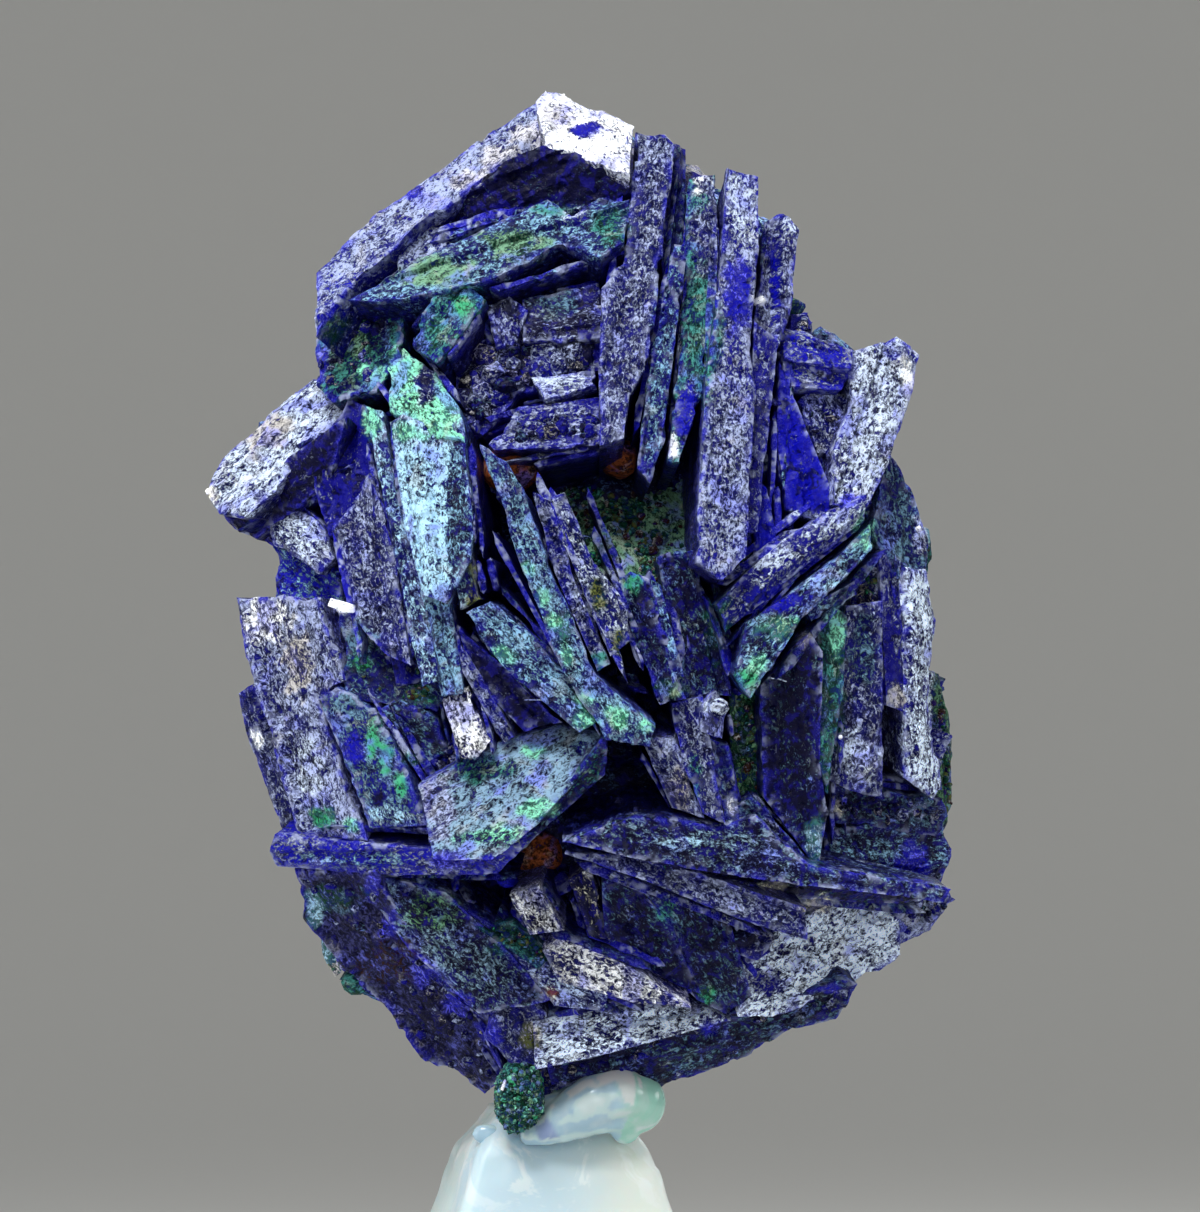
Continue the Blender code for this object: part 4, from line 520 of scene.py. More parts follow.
# Patches over the front blades: across, down, half width, half height, the crystal under the
# bloom, the bloom, and how much it covers
PATCHES = [
    (22.6, 25.4, 0.30, 0.9, "teal", "mint", 0.5),
    (31.3, 25.2, 1.0, 0.5, "teal", "mint", 0.42),
    (28.6, 24.9, 0.5, 1.4, "pine", "teal", 0.5),
    (22.4, 4.9, 0.7, 0.6, "plum", "ash", 0.74),
    (21.2, 5.6, 0.8, 0.6, "plum", "ash", 0.72),
    (20.0, 6.4, 0.8, 0.6, "plum", "ash", 0.70),
    (18.8, 7.3, 0.8, 0.6, "plum", "ash", 0.68),
    (16.4, 9.6, 1.6, 1.4, "ultramarine", "lilac", 0.60),
    (15.0, 35.4, 0.30, 0.7, "royal", "violet", 0.6),
    (15.6, 36.9, 0.45, 0.9, "royal", "violet", 0.6),
    (16.9, 38.6, 0.55, 0.8, "royal", "violet", 0.6),
    (18.4, 40.0, 0.6, 0.7, "royal", "violet", 0.6),
    (19.6, 41.2, 0.5, 0.6, "royal", "violet", 0.5),
    (13.4, 35.8, 1.2, 0.6, "pine", "slate", 0.5),
    (12.7, 36.2, 0.4, 0.8, "teal", "ice", 0.7),
    (15.6, 38.4, 1.2, 1.0, "bark", "plum", 0.6),
    (23.3, 24.6, 0.4, 2.0, "navy", "frost", 0.6),
    (24.5, 22.8, 0.4, 1.8, "navy", "frost", 0.6),
    (23.5, 5.4, 0.55, 0.30, "royal", "violet", 0.2),
    (24.6, 5.9, 0.7, 0.9, "navy", "white", 0.84),
    (13.6, 11.6, 0.7, 1.4, "royal", "lilac", 0.62),
    (13.4, 12.8, 0.6, 1.0, "royal", "lilac", 0.5),
    (16.5, 7.8, 0.6, 0.3, "royal", "violet", 0.5),
    (17.6, 11.1, 1.7, 0.7, "pine", "moss", 0.74),
    (20.6, 10.0, 1.4, 0.7, "pine", "moss", 0.68),
    (23.0, 8.7, 0.5, 0.35, "royal", "frost", 0.6),
    (24.4, 9.4, 0.7, 0.8, "pine", "teal", 0.55),
    (22.0, 8.6, 0.9, 0.3, "pine", "teal", 0.8),
    (18.7, 12.2, 0.9, 0.7, "pine", "malachite", 0.62),
    (17.4, 13.6, 0.8, 0.9, "pine", "teal", 0.55),
    (15.0, 15.2, 0.6, 0.4, "teal", "mint", 0.75),
    (14.0, 13.7, 1.0, 0.9, "pine", "moss", 0.70),
    (12.9, 14.6, 0.4, 0.9, "royal", "violet", 0.5),
    (8.5, 19.8, 0.4, 0.4, "tan", "cream", 0.9),
    (10.6, 17.3, 1.5, 0.9, "plum", "tan", 0.72),
    (15.0, 16.9, 0.4, 0.8, "teal", "mint", 0.85),
    (17.2, 15.5, 0.42, 0.9, "navy", "frost", 0.34),
    (16.2, 14.7, 0.4, 0.8, "malachite", "mint", 0.8),
    (18.0, 16.9, 0.5, 0.8, "teal", "mint", 0.7),
    (16.4, 17.5, 0.7, 0.5, "teal", "mint", 0.6),
    (18.5, 20.6, 0.5, 3.6, "ink", "cyan", 0.44),
    (17.6, 22.6, 0.4, 0.9, "navy", "ice", 0.8),
    (21.2, 22.8, 0.32, 0.30, "malachite", "mint", 0.8),
    (21.8, 23.9, 0.34, 0.40, "teal", "mint", 0.75),
    (22.2, 24.8, 0.36, 0.35, "malachite", "mint", 0.8),
    (22.8, 26.2, 0.30, 0.40, "teal", "mint", 0.65),
    (23.4, 27.8, 0.50, 0.40, "malachite", "mint", 0.8),
    (24.6, 28.6, 0.50, 0.40, "malachite", "mint", 0.7),
    (25.8, 28.9, 0.45, 0.45, "teal", "mint", 0.9),
    (24.3, 29.0, 0.28, 0.28, "royal", "violet", 0.5),
    (20.2, 26.1, 0.55, 0.35, "teal", "mint", 0.7),
    (23.4, 28.7, 0.5, 0.4, "teal", "mint", 0.6),
    (24.0, 26.4, 0.4, 0.4, "pine", "teal", 0.8),
    (23.9, 23.8, 0.35, 0.7, "pine", "olive", 0.6),
    (24.8, 25.7, 0.45, 0.6, "pine", "olive", 0.7),
    (25.3, 23.4, 0.5, 0.4, "pine", "malachite", 0.75),
    (26.9, 27.4, 0.7, 0.4, "pine", "green", 0.7),
    (25.6, 21.7, 2.4, 0.8, "pine", "moss", 0.8),
    (22.3, 12.3, 1.2, 0.6, "navy", "slate", 0.55),
    (28.0, 7.6, 0.45, 0.5, "navy", "white", 0.8),
    (28.1, 13.6, 0.7, 3.0, "pine", "teal", 0.62),
    (28.3, 9.2, 0.8, 1.9, "navy", "lilac", 0.42),
    (27.4, 16.8, 0.5, 1.2, "royal", "lilac", 0.2),
    (26.85, 18.1, 0.3, 0.6, "navy", "white", 0.9),
    (26.4, 13.6, 0.35, 2.4, "navy", "cyan", 0.5),
    (29.6, 8.4, 0.8, 1.4, "ultramarine", "frost", 0.62),
    (29.4, 12.2, 0.6, 1.6, "royal", "violet", 0.40),
    (29.1, 18.8, 0.9, 3.6, "navy", "lilac", 0.60),
    (30.3, 12.2, 0.3, 0.25, "frost", "white", 0.95),
    (31.5, 9.2, 0.4, 0.6, "ultramarine", "frost", 0.7),
    (30.9, 11.6, 0.2, 1.8, "royal", "lilac", 0.2),
    (35.0, 16.6, 0.9, 1.9, "plum", "frost", 0.66),
    (35.9, 14.2, 0.7, 0.6, "ultramarine", "lilac", 0.6),
    (36.2, 15.2, 0.3, 1.2, "frost", "white", 0.8),
    (33.9, 20.1, 0.5, 0.3, "royal", "violet", 0.6),
    (33.0, 20.9, 1.9, 0.45, "ultramarine", "frost", 0.78),
    (31.0, 22.4, 1.0, 0.5, "ultramarine", "frost", 0.7),
    (30.6, 23.9, 1.4, 0.5, "royal", "lilac", 0.22),
    (30.1, 26.7, 0.5, 0.6, "teal", "mint", 0.6),
    (29.8, 27.2, 0.6, 0.6, "pine", "malachite", 0.8),
    (32.6, 23.2, 1.2, 0.5, "navy", "ice", 0.6),
    (34.4, 21.4, 0.4, 0.9, "teal", "mint", 0.7),
    (36.7, 21.4, 0.3, 1.0, "navy", "frost", 0.7),
    (36.8, 27.4, 0.5, 3.0, "navy", "snow", 0.66),
    (35.7, 27.8, 0.4, 0.8, "plum", "tan", 0.7),
    (34.2, 30.2, 0.9, 1.3, "plum", "frost", 0.66),
    (34.3, 26.0, 0.7, 1.6, "navy", "slate", 0.5),
    (33.4, 32.2, 0.3, 0.3, "tan", "cream", 0.6),
    (36.7, 32.3, 0.6, 0.3, "slate", "lilac", 0.6),
    (37.9, 29.8, 0.4, 2.8, "pine", "green", 0.62),
    (33.3, 25.2, 0.35, 1.1, "teal", "mint", 0.85),
    (33.3, 28.4, 0.3, 2.0, "pine", "teal", 0.5),
    (32.5, 33.4, 0.4, 1.2, "teal", "ice", 0.5),
    (32.0, 25.6, 0.3, 0.4, "tan", "cream", 0.7),
    (28.3, 28.0, 0.4, 0.35, "lilac", "frost", 0.8),
    (28.5, 28.7, 0.2, 0.2, "ink", "navy", 0.2),
    (29.2, 32.0, 0.25, 0.7, "frost", "white", 0.75),
    (27.7, 30.6, 0.35, 1.0, "navy", "teal", 0.5),
    (27.0, 31.4, 0.5, 0.9, "plum", "tan", 0.6),
    (21.5, 29.9, 0.45, 0.3, "teal", "mint", 0.8),
    (21.6, 32.2, 0.9, 0.40, "teal", "mint", 0.66),
    (20.4, 33.0, 0.7, 0.35, "teal", "mint", 0.66),
    (19.2, 30.6, 1.4, 0.6, "navy", "teal", 0.5),
    (23.3, 29.8, 0.5, 0.45, "ultramarine", "cyan", 0.5),
    (17.6, 32.0, 0.8, 1.4, "plum", "lilac", 0.6),
    (20.0, 33.2, 1.6, 0.3, "navy", "mint", 0.5),
    (18.1, 34.2, 0.9, 0.4, "royal", "violet", 0.6),
    (14.8, 34.2, 2.6, 0.35, "royal", "cyan", 0.55),
    (10.7, 24.8, 1.0, 1.0, "plum", "white", 0.62),
    (12.0, 26.6, 0.7, 1.4, "plum", "tan", 0.6),
    (12.9, 32.6, 0.5, 0.5, "teal", "malachite", 0.66),
    (14.2, 32.9, 0.5, 0.3, "teal", "mint", 0.66),
    (12.3, 30.6, 0.8, 1.2, "ink", "frost", 0.62),
    (10.4, 29.5, 0.3, 0.4, "frost", "white", 0.8),
    (15.1, 29.4, 0.32, 0.7, "pine", "malachite", 0.85),
    (15.6, 30.3, 0.34, 0.7, "pine", "malachite", 0.9),
    (16.2, 31.2, 0.34, 0.6, "pine", "malachite", 0.85),
    (14.3, 29.8, 0.4, 0.6, "royal", "violet", 0.3),
    (15.7, 32.4, 0.9, 0.45, "navy", "ice", 0.7),
    (15.3, 31.8, 0.3, 0.3, "ink", "navy", 0.2),
    (16.6, 30.3, 0.5, 0.3, "pine", "teal", 0.6),
    (14.3, 25.3, 0.8, 0.7, "plum", "slate", 0.8),
    (13.8, 24.3, 0.5, 0.25, "frost", "white", 0.95),
    (14.6, 26.5, 0.6, 0.4, "pine", "malachite", 0.6),
    (16.9, 27.7, 0.6, 0.4, "pine", "malachite", 0.5),
    (27.2, 33.6, 0.7, 0.3, "navy", "ice", 0.6),
    (30.8, 35.3, 0.6, 0.22, "tan", "cream", 0.7),
    (36.5, 34.4, 0.8, 0.9, "royal", "violet", 0.45),
    (32.6, 36.1, 0.7, 0.5, "lilac", "cream", 0.75),
    (33.8, 37.4, 1.6, 1.0, "navy", "snow", 0.72),
    (30.5, 39.2, 0.6, 0.6, "ultramarine", "lilac", 0.5),
    (33.1, 39.4, 0.4, 0.25, "royal", "violet", 0.5),
    (36.9, 36.2, 0.5, 0.5, "lilac", "frost", 0.85),
    (22.6, 41.5, 0.8, 0.5, "navy", "snow", 0.68),
    (28.4, 41.0, 0.4, 0.3, "royal", "violet", 0.6),
    (21.9, 39.5, 0.35, 0.35, "rust", "cream", 0.5),
    (26.6, 36.1, 0.5, 0.5, "navy", "teal", 0.6),
    (28.2, 39.6, 0.35, 0.4, "pine", "malachite", 0.6),
    (23.6, 34.8, 0.25, 0.25, "frost", "white", 0.95),
    (21.3, 41.2, 0.5, 0.6, "olive", "cream", 0.55),
    (20.4, 37.6, 0.8, 0.5, "pine", "teal", 0.6),
    (17.4, 36.2, 1.4, 0.8, "ink", "green", 0.50),
    (19.6, 34.2, 0.4, 0.3, "royal", "violet", 0.4),
]


def swell(across, down):
    """How far the bulge stands out here, as a share of its height in the middle."""
    beside = (across - MIDDLE[0]) / HALF_WIDTH
    below = (down - MIDDLE[1]) / HALF_HEIGHT
    return 1.0 - SWELL_FALL * (beside ** 2 + below ** 2)


def swell_slope(across, down):
    """Change of the swell for each millimetre to the right and for each one upwards."""
    to_right = -2.0 * SWELL_FALL * (across - MIDDLE[0]) / HALF_WIDTH ** 2
    upwards = 2.0 * SWELL_FALL * (down - MIDDLE[1]) / HALF_HEIGHT ** 2
    return to_right, upwards


def inside(across, down):
    """Whether a point of the drawing lies within the silhouette."""
    within = False
    last = SILHOUETTE[-1]
    for point in SILHOUETTE:
        if (point[1] > down) != (last[1] > down):
            share = (down - point[1]) / (last[1] - point[1])
            if across < point[0] + share * (last[0] - point[0]):
                within = not within
        last = point
    return within


def middle_of(outline):
    across = sum(point[0] for point in outline) / len(outline)
    down = sum(point[1] for point in outline) / len(outline)
    return across, down


def blade_ends(outline, side, height, set_back, depth, turn_right, turn_up):
    """Outer and inner outlines of a blade, as points in the drawing's millimetres.

    side is -1 for the front of the cluster and 1 for its back.
    """
    across, down = middle_of(outline)
    to_right, upwards = swell_slope(across, down)
    face = side * (height * swell(across, down) - set_back)
    slope_right = side * height * to_right * FACE_FOLLOW + turn_right
    slope_up = side * height * upwards * FACE_FOLLOW + turn_up
    outer = []
    inner = []
    for u, v in outline:
        start = face + slope_right * (u - across) - slope_up * (v - down)
        end = face - side * depth
        share = (GATHER_DEPTH + side * end) / (GATHER_DEPTH + side * start)
        outer.append((u, v, start))
        inner.append((MIDDLE[0] + (u - MIDDLE[0]) * share, MIDDLE[1] + (v - MIDDLE[1]) * share, end))
    return outer, inner


def shaken(outline, chance):
    """The outline with each point moved by a hair."""
    return [(u + chance.uniform(-OUTLINE_SHAKE, OUTLINE_SHAKE),
             v + chance.uniform(-OUTLINE_SHAKE, OUTLINE_SHAKE)) for u, v in outline]


def front_blades(chance):
    blades = []
    for set_back, depth, turn_right, turn_up, outline in FRONT_BLADES.values():
        outline = shaken(outline, chance)
        blades.append(blade_ends(outline, -1, FRONT_SWELL, set_back, depth, turn_right, turn_up))
    return blades


def strip(across, down, angle, length, width, chance):
    """Outline of a blade seen on its edge, with one end cut aslant."""
    along = (math.sin(angle), -math.cos(angle))
    beside = (along[1], -along[0])
    slant = chance.uniform(0.2, 0.6) * width
    corners = [
        (-0.5 * length, -0.5 * width), (-0.5 * length + slant, 0.5 * width),
        (0.5 * length - slant, 0.5 * width), (0.5 * length, 0.1 * width),
        (0.5 * length - 0.5 * slant, -0.5 * width)]
    return [(across + along[0] * s + beside[0] * t, down + along[1] * s + beside[1] * t)
            for s, t in corners]


def fitted_strip(across, down, angle, length, width, chance):
    """The longest strip up to this length that stays within the silhouette, or None."""
    draw = chance.random()
    while length > LEAST_SLIMNESS * width:
        outline = strip(across, down, angle, length, width, random.Random(draw))
        if all(inside(u, v) for u, v in outline):
            return outline
        length -= SHORTEN_STEP
    return None


def rear_blades(chance):
    """Books of parallel blades over the back, each book lying its own way."""
    blades = []
    rows = int(2 * HALF_HEIGHT / BOOK_STEP)
    columns = int(2 * HALF_WIDTH / BOOK_STEP) + 1
    for row in range(rows):
        for column in range(columns):
            shift = chance.uniform(-BOOK_SHIFT, BOOK_SHIFT), chance.uniform(-BOOK_SHIFT, BOOK_SHIFT)
            across = MIDDLE[0] + (column - 0.5 * (columns - 1) + shift[0]) * BOOK_STEP
            down = MIDDLE[1] + (row - 0.5 * (rows - 1) + shift[1]) * BOOK_STEP
            angle = chance.choice(BOOK_TURNS) + chance.uniform(-BOOK_TURN_SPREAD, BOOK_TURN_SPREAD)
            count = chance.choice(LEAF_COUNTS)
            for leaf in range(count):
                width = chance.uniform(*BLADE_WIDTH)
                aside = (leaf - 0.5 * (count - 1)) * LEAF_STEP
                forward = chance.uniform(-LEAF_SHIFT, LEAF_SHIFT)
                u = across - math.cos(angle) * aside + math.sin(angle) * forward
                v = down - math.sin(angle) * aside - math.cos(angle) * forward
                length = chance.uniform(*BLADE_LENGTH)
                outline = fitted_strip(u, v, angle, length, width, chance)
                set_back = chance.uniform(*REAR_SET_BACK)
                turns = chance.uniform(-REAR_TURN, REAR_TURN), chance.uniform(-REAR_TURN, REAR_TURN)
                if outline:
                    blades.append(blade_ends(outline, 1, REAR_SWELL, set_back, BLADE_DEPTH, *turns))
    return blades


def silhouette_point(share):
    """Point at this share of the way round the silhouette."""
    spans = []
    last = SILHOUETTE[-1]
    for point in SILHOUETTE:
        spans.append((last, point, math.dist(last, point)))
        last = point
    left = share * sum(span[2] for span in spans)
    for start, end, length in spans:
        if left <= length:
            part = left / length
            return start[0] + (end[0] - start[0]) * part, start[1] + (end[1] - start[1]) * part
        left -= length
    return SILHOUETTE[-1]


def rim_blade(share, chance):
    """A blade that points outwards from the rim, seen on its edge from the side, or None."""
    across, down = silhouette_point(share)
    outwards = Vector((across - MIDDLE[0], down - MIDDLE[1])).normalized()
    beside = Vector((-outwards.y, outwards.x))
    length = chance.uniform(*RIM_LENGTH)
    width = chance.uniform(*BLADE_WIDTH)
    slant = chance.uniform(-RIM_SLANT, RIM_SLANT)
    depth_middle = chance.uniform(*RIM_MIDDLE)
    inset = RIM_INSET
    while inset < RIM_MOST_INSET:
        outer = []
        inner = []
        for along, aside in ((-0.5, -0.5), (-0.42, 0.5), (0.5, 0.5), (0.4, -0.5)):
            shift = aside * width + slant * along * length
            y = depth_middle + along * length
            for ends, sunk in ((outer, inset), (inner, inset + RIM_DEPTH)):
                kept = 1.0 if ends is outer else RIM_NARROWING
                point = Vector((across, down)) - outwards * sunk + beside * shift * kept
                ends.append((point.x, point.y, y * kept))
        if all(inside(u, v) for u, v, _ in outer):
            return outer, inner
        inset += RIM_INSET_STEP
    return None


def rim_blades(chance):
    blades = []
    for index in range(RIM_BLADES):
        share = (index + chance.uniform(0.2, 0.8)) / RIM_BLADES
        blade = rim_blade(share, chance)
        if blade and silhouette_point(share)[1] < RIM_LOWEST:
            blades.append(blade)
    return blades


OUTLINE_STEP = 0.13         # spacing of the points along a front blade's outline
BACK_STEP = 0.22            # and along the others'
CHAMFER = 0.09
WALL_RINGS = (0.07, 0.2, 0.4, 0.7, 1.1, 1.6, 2.3, 3.2, 4.4, 6.0)
COARSE_RINGS = (0.08, 0.3, 0.8, 1.6, 3.0)
SMALL_STEP = 0.28           # for the smallest blades of the back and sides
# Colours that the blade walls darken towards deeper down: painted shade in the gaps, over the crystal's own deep blue.
WALL_SHADE_DEEP = (0.003, 0.003, 0.040)
WALL_SHADE_BLOOM = (0.020, 0.016, 0.430)


def lattice(points, seed):
    """Smooth noise from -1 to 1 at each point, with cells of size one."""
    cell = np.floor(points).astype(np.int64)
    part = points - cell
    part = part * part * (3.0 - 2.0 * part)
    total = np.zeros(len(points))
    for corner in np.ndindex(2, 2, 2):
        at = cell + corner
        mixed = at[:, 0] * 73856093 ^ at[:, 1] * 19349663 ^ at[:, 2] * 83492791 ^ seed * 6700417
        mixed = (mixed ^ mixed >> 13) * 1274126177 & 0x7FFFFFFF
        value = ((mixed ^ mixed >> 16) & 0xFFFF) / 32767.5 - 1.0
        weight = np.prod(np.where(np.array(corner) == 1, part, 1.0 - part), axis=1)
        total += value * weight
    return total


def eased(values, low, high):
    """0 below low, 1 above high and a smooth rise between them."""
    share = np.clip((values - low) / (high - low), 0.0, 1.0)
    return share * share * (3.0 - 2.0 * share)


def to_space(points):
    """Drawn points, with their depth, as millimetres in the row's frame."""
    points = np.asarray(points, float)
    return np.column_stack((points[:, 0] - AXIS_ACROSS, points[:, 2], FOOT_DOWN - points[:, 1]))


class Piece:
    """Faces gathered for one object, with the values that its material reads."""

    def __init__(self):
        self.points = []
        self.faces = []
        self.layers = {"deep": [], "bloom": [], "cover": [], "edge": [], "grain": []}
        self.count = 0

    def add(self, points, faces, deep, bloom, cover, edge, grain):
        self.points.append(points)
        self.faces.extend([tuple(index + self.count for index in face) for face in faces])
        self.count += len(points)
        size = len(points)
        self.layers["deep"].append(np.broadcast_to(deep, (size, 3)))
        self.layers["bloom"].append(np.broadcast_to(bloom, (size, 3)))
        self.layers["cover"].append(np.broadcast_to(cover, size))
        self.layers["edge"].append(np.broadcast_to(edge, size))
        self.layers["grain"].append(grain)

    def make(self, name, sharp=28.0):
        mesh = bpy.data.meshes.new(name)
        mesh.from_pydata((np.concatenate(self.points) * MM).tolist(), [], self.faces)
        for layer, kind, part in (("deep", "FLOAT_VECTOR", "vector"), ("bloom", "FLOAT_VECTOR", "vector"),
                                  ("grain", "FLOAT_VECTOR", "vector"), ("cover", "FLOAT", "value"),
                                  ("edge", "FLOAT", "value")):
            values = np.concatenate(self.layers[layer]).astype(np.float32)
            mesh.attributes.new(layer, kind, "POINT").data.foreach_set(part, values.ravel())
        mesh.shade_smooth()
        mesh.set_sharp_from_angle(angle=math.radians(sharp))
        made = bpy.data.objects.new(name, mesh)
        bpy.context.scene.collection.objects.link(made)
        return made


def resampled(outer, inner, step):
    """Both outlines of a blade cut into short steps, as facing pairs of points."""
    near = []
    far = []
    for index in range(len(outer)):
        start, end = outer[index - 1], outer[index]
        count = max(1, round(np.linalg.norm(end - start) / step))
        share = (np.arange(count) / count)[:, None]
        near.append(start + (end - start) * share)
        far.append(inner[index - 1] + (inner[index] - inner[index - 1]) * share)
    return np.concatenate(near), np.concatenate(far)


def blade_axes(outline, behind):
    """Middle of an outline and its directions along, across and outwards."""
    middle = outline.mean(0)
    turned = np.roll(outline, -1, 0)
    normal = np.cross(outline - middle, turned - middle).sum(0)
    normal /= np.linalg.norm(normal)
    if normal @ (middle - behind) < 0.0:
        normal = -normal
    spread = outline - middle
    spread = spread - np.outer(spread @ normal, normal)
    along = np.linalg.svd(spread, full_matrices=False)[2][0]
    along -= normal * (along @ normal)
    along /= np.linalg.norm(along)
    return middle, along, np.cross(normal, along), normal


def within(points, loop):
    """Which flat points lie inside a closed loop."""
    found = np.zeros(len(points), bool)
    for start, end in zip(loop, np.roll(loop, 1, 0)):
        rise = end[1] - start[1]
        if rise:
            crossed = (start[1] > points[:, 1]) != (end[1] > points[:, 1])
            at = start[0] + (points[:, 1] - start[1]) * (end[0] - start[0]) / rise
            found ^= crossed & (points[:, 0] < at)
    return found


def distance_to(points, loop):
    """Distance of each flat point from a closed loop's line."""
    best = np.full(len(points), 1e9)
    for start, end in zip(loop, np.roll(loop, -1, 0)):
        way = end - start
        share = np.clip((points - start) @ way / max(way @ way, 1e-12), 0.0, 1.0)
        best = np.minimum(best, np.linalg.norm(points - start - share[:, None] * way, axis=1))
    return best


def outward(loop):
    """Unit directions that point out of a closed flat loop, at each of its points."""
    way = np.roll(loop, -1, 0) - np.roll(loop, 1, 0)
    way /= np.maximum(np.linalg.norm(way, axis=1), 1e-9)[:, None]
    area = np.sum(loop[:, 0] * np.roll(loop[:, 1], -1) - np.roll(loop[:, 0], -1) * loop[:, 1])
    return np.column_stack((way[:, 1], -way[:, 0])) * (1.0 if area > 0.0 else -1.0)


def face_heights(flat, edge_distance, chance):
    """Height of a blade's end face: leaves of different height, fine lines, grains and pits."""
    along, across = flat[:, 0], flat[:, 1]
    offset = chance.uniform(0.0, 50.0)
    flat3 = np.column_stack((flat, np.full(len(flat), offset)))
    half = max(np.ptp(across) * 0.5, 0.1)
    height = np.zeros(len(flat))
    for step in range(2 + int(half > 0.6) + int(half > 1.2)):
        place_across = chance.uniform(-0.8, 0.8) * half
        rise = chance.choice((-1.0, 1.0)) * chance.uniform(0.07, 0.18)
        wander = 0.10 * lattice(np.column_stack((along * 0.7, along * 0.0 + step, along * 0.0 + offset)), 3)
        height += rise * eased(across - place_across - wander, -0.02, 0.03)
    height -= height.mean()
    lines = lattice(np.column_stack((across * 5.0, along * 0.45, flat3[:, 2])), 5)
    broken = lattice(np.column_stack((across * 1.6, along * 0.8, flat3[:, 2])), 7)
    grains = lattice(flat3 * (5.5, 5.5, 1.0), 11)
    height += 0.040 * lines + 0.075 * eased(broken, 0.1, 0.3) + 0.034 * grains
    pits = lattice(flat3 * (1.9, 2.6, 1.0), 13)
    height -= 0.11 * eased(pits, 0.42, 0.62)
    return height - 0.05 * np.exp(-(edge_distance / 0.12) ** 2)


def add_blade(piece, outer, inner, look, chance, step, patches=()):
    """A blade's chipped end face and lined walls, closed behind."""
    outer, inner = resampled(np.asarray(outer), np.asarray(inner), step)
    middle, along, across, normal = blade_axes(outer, inner.mean(0))
    axes = np.column_stack((along, across))
    loop = (outer - middle) @ axes
    lifted = (outer - middle) @ normal
    out = outward(loop)
    seed_shift = chance.uniform(0.0, 90.0)
    wear = outer + seed_shift
    nick = 0.07 * np.abs(lattice(wear * 2.6, 17)) + 0.22 * eased(lattice(wear * 1.1, 19), 0.25, 0.50)
    nick += 0.06 * np.abs(lattice(wear * 5.0, 21))
    nick *= min(1.0, np.ptp(loop[:, 1]) / 1.2)
    whole = loop
    for worn, inset in ((1.0, 1.0), (0.6, 0.6), (0.3, 0.4), (0.0, 0.3), (0.0, 0.0)):
        loop = whole - out * nick[:, None] * worn
        rim = loop - out * inset * CHAMFER
        grid = face_points(rim, step, chance)
        made = delaunay_2d_cdt([Vector(p) for p in np.concatenate((rim, grid))],
                               [(i, (i + 1) % len(rim)) for i in range(len(rim))], [], 1, 1e-6)
        if len(made[0]) == len(rim) + len(grid) and all(len(o) == 1 for o in made[3]):
            break
    else:
        raise ValueError("an outline crosses itself")
    order = np.array([o[0] for o in made[3]])
    triangles = [tuple(int(order[i]) for i in face) for face in made[2]]
    flat = np.concatenate((rim, grid))
    edge_distance = np.concatenate((np.zeros(len(rim)), distance_to(grid, rim) if len(grid) else []))
    heights = face_heights(flat, edge_distance, chance)
    base = lifted_at(flat, loop, lifted) if np.ptp(lifted) > 0.05 else np.full(len(flat), lifted.mean())
    front = middle + flat @ axes.T + np.outer(base + heights, normal)
    points = [front]
    edge = [np.exp(-edge_distance / 0.13)]
    depth_values = [np.zeros(len(flat))]
    grain = [np.column_stack((flat, np.zeros(len(flat))))]
    faces = list(triangles)
    length = np.linalg.norm(inner - outer, axis=1)
    reach = float(length.mean())
    rings = [depth for depth in (WALL_RINGS if step == OUTLINE_STEP else COARSE_RINGS) if depth < reach * 0.92]
    rings.append(reach)
    size = len(loop)
    last = np.arange(size)
    start = len(flat)
    rim_height = heights[:size]
    for depth in rings:
        share = (depth / reach)
        body = middle + loop @ axes.T + np.outer(lifted + rim_height * math.exp(-depth / 0.5), normal)
        ring = body + (inner - outer) * share
        lined = lattice(np.column_stack((loop * 2.4, np.full(size, depth * 0.35))) + seed_shift, 23)
        ledge = eased(lattice(np.column_stack((loop * 0.9, np.full(size, depth * 0.9))) + seed_shift, 29), 0.1, 0.3)
        bulge = 0.035 * lined + 0.06 * (ledge - 0.5)
        ring = ring + (out * bulge[:, None]) @ axes.T
        points.append(ring)
        edge.append(np.full(size, math.exp(-max(0.0, depth - 0.07) / 0.22)))
        depth_values.append(np.full(size, depth))
        grain.append(np.column_stack((loop, np.full(size, depth))))
        this = np.arange(start, start + size)
        following = np.roll(this, -1)
        before = np.roll(last, -1)
        faces += list(zip(last.tolist(), this.tolist(), following.tolist(), before.tolist()))
        last = this
        start += size
    faces.append(tuple(last.tolist()[::-1]))
    points = np.concatenate(points)
    area = np.sum(loop[:, 0] * np.roll(loop[:, 1], -1) - np.roll(loop[:, 0], -1) * loop[:, 1])
    turned = np.cross(along, across) @ normal
    if area * turned < 0.0:
        faces = [face[::-1] for face in faces[len(triangles):]]
        faces = oriented(triangles, flat, turned) + faces
    else:
        faces = oriented(triangles, flat, turned) + faces[len(triangles):]
    paint(piece, points, faces, np.concatenate(edge), np.concatenate(depth_values),
          np.concatenate(grain) + seed_shift, look, chance, patches)


def oriented(triangles, flat, turned):
    """Triangles of the end face, turned so that they face outwards."""
    made = []
    for a, b, c in triangles:
        way = (flat[b][0] - flat[a][0]) * (flat[c][1] - flat[a][1])
        way -= (flat[c][0] - flat[a][0]) * (flat[b][1] - flat[a][1])
        made.append((a, b, c) if way * turned > 0.0 else (a, c, b))
    return made


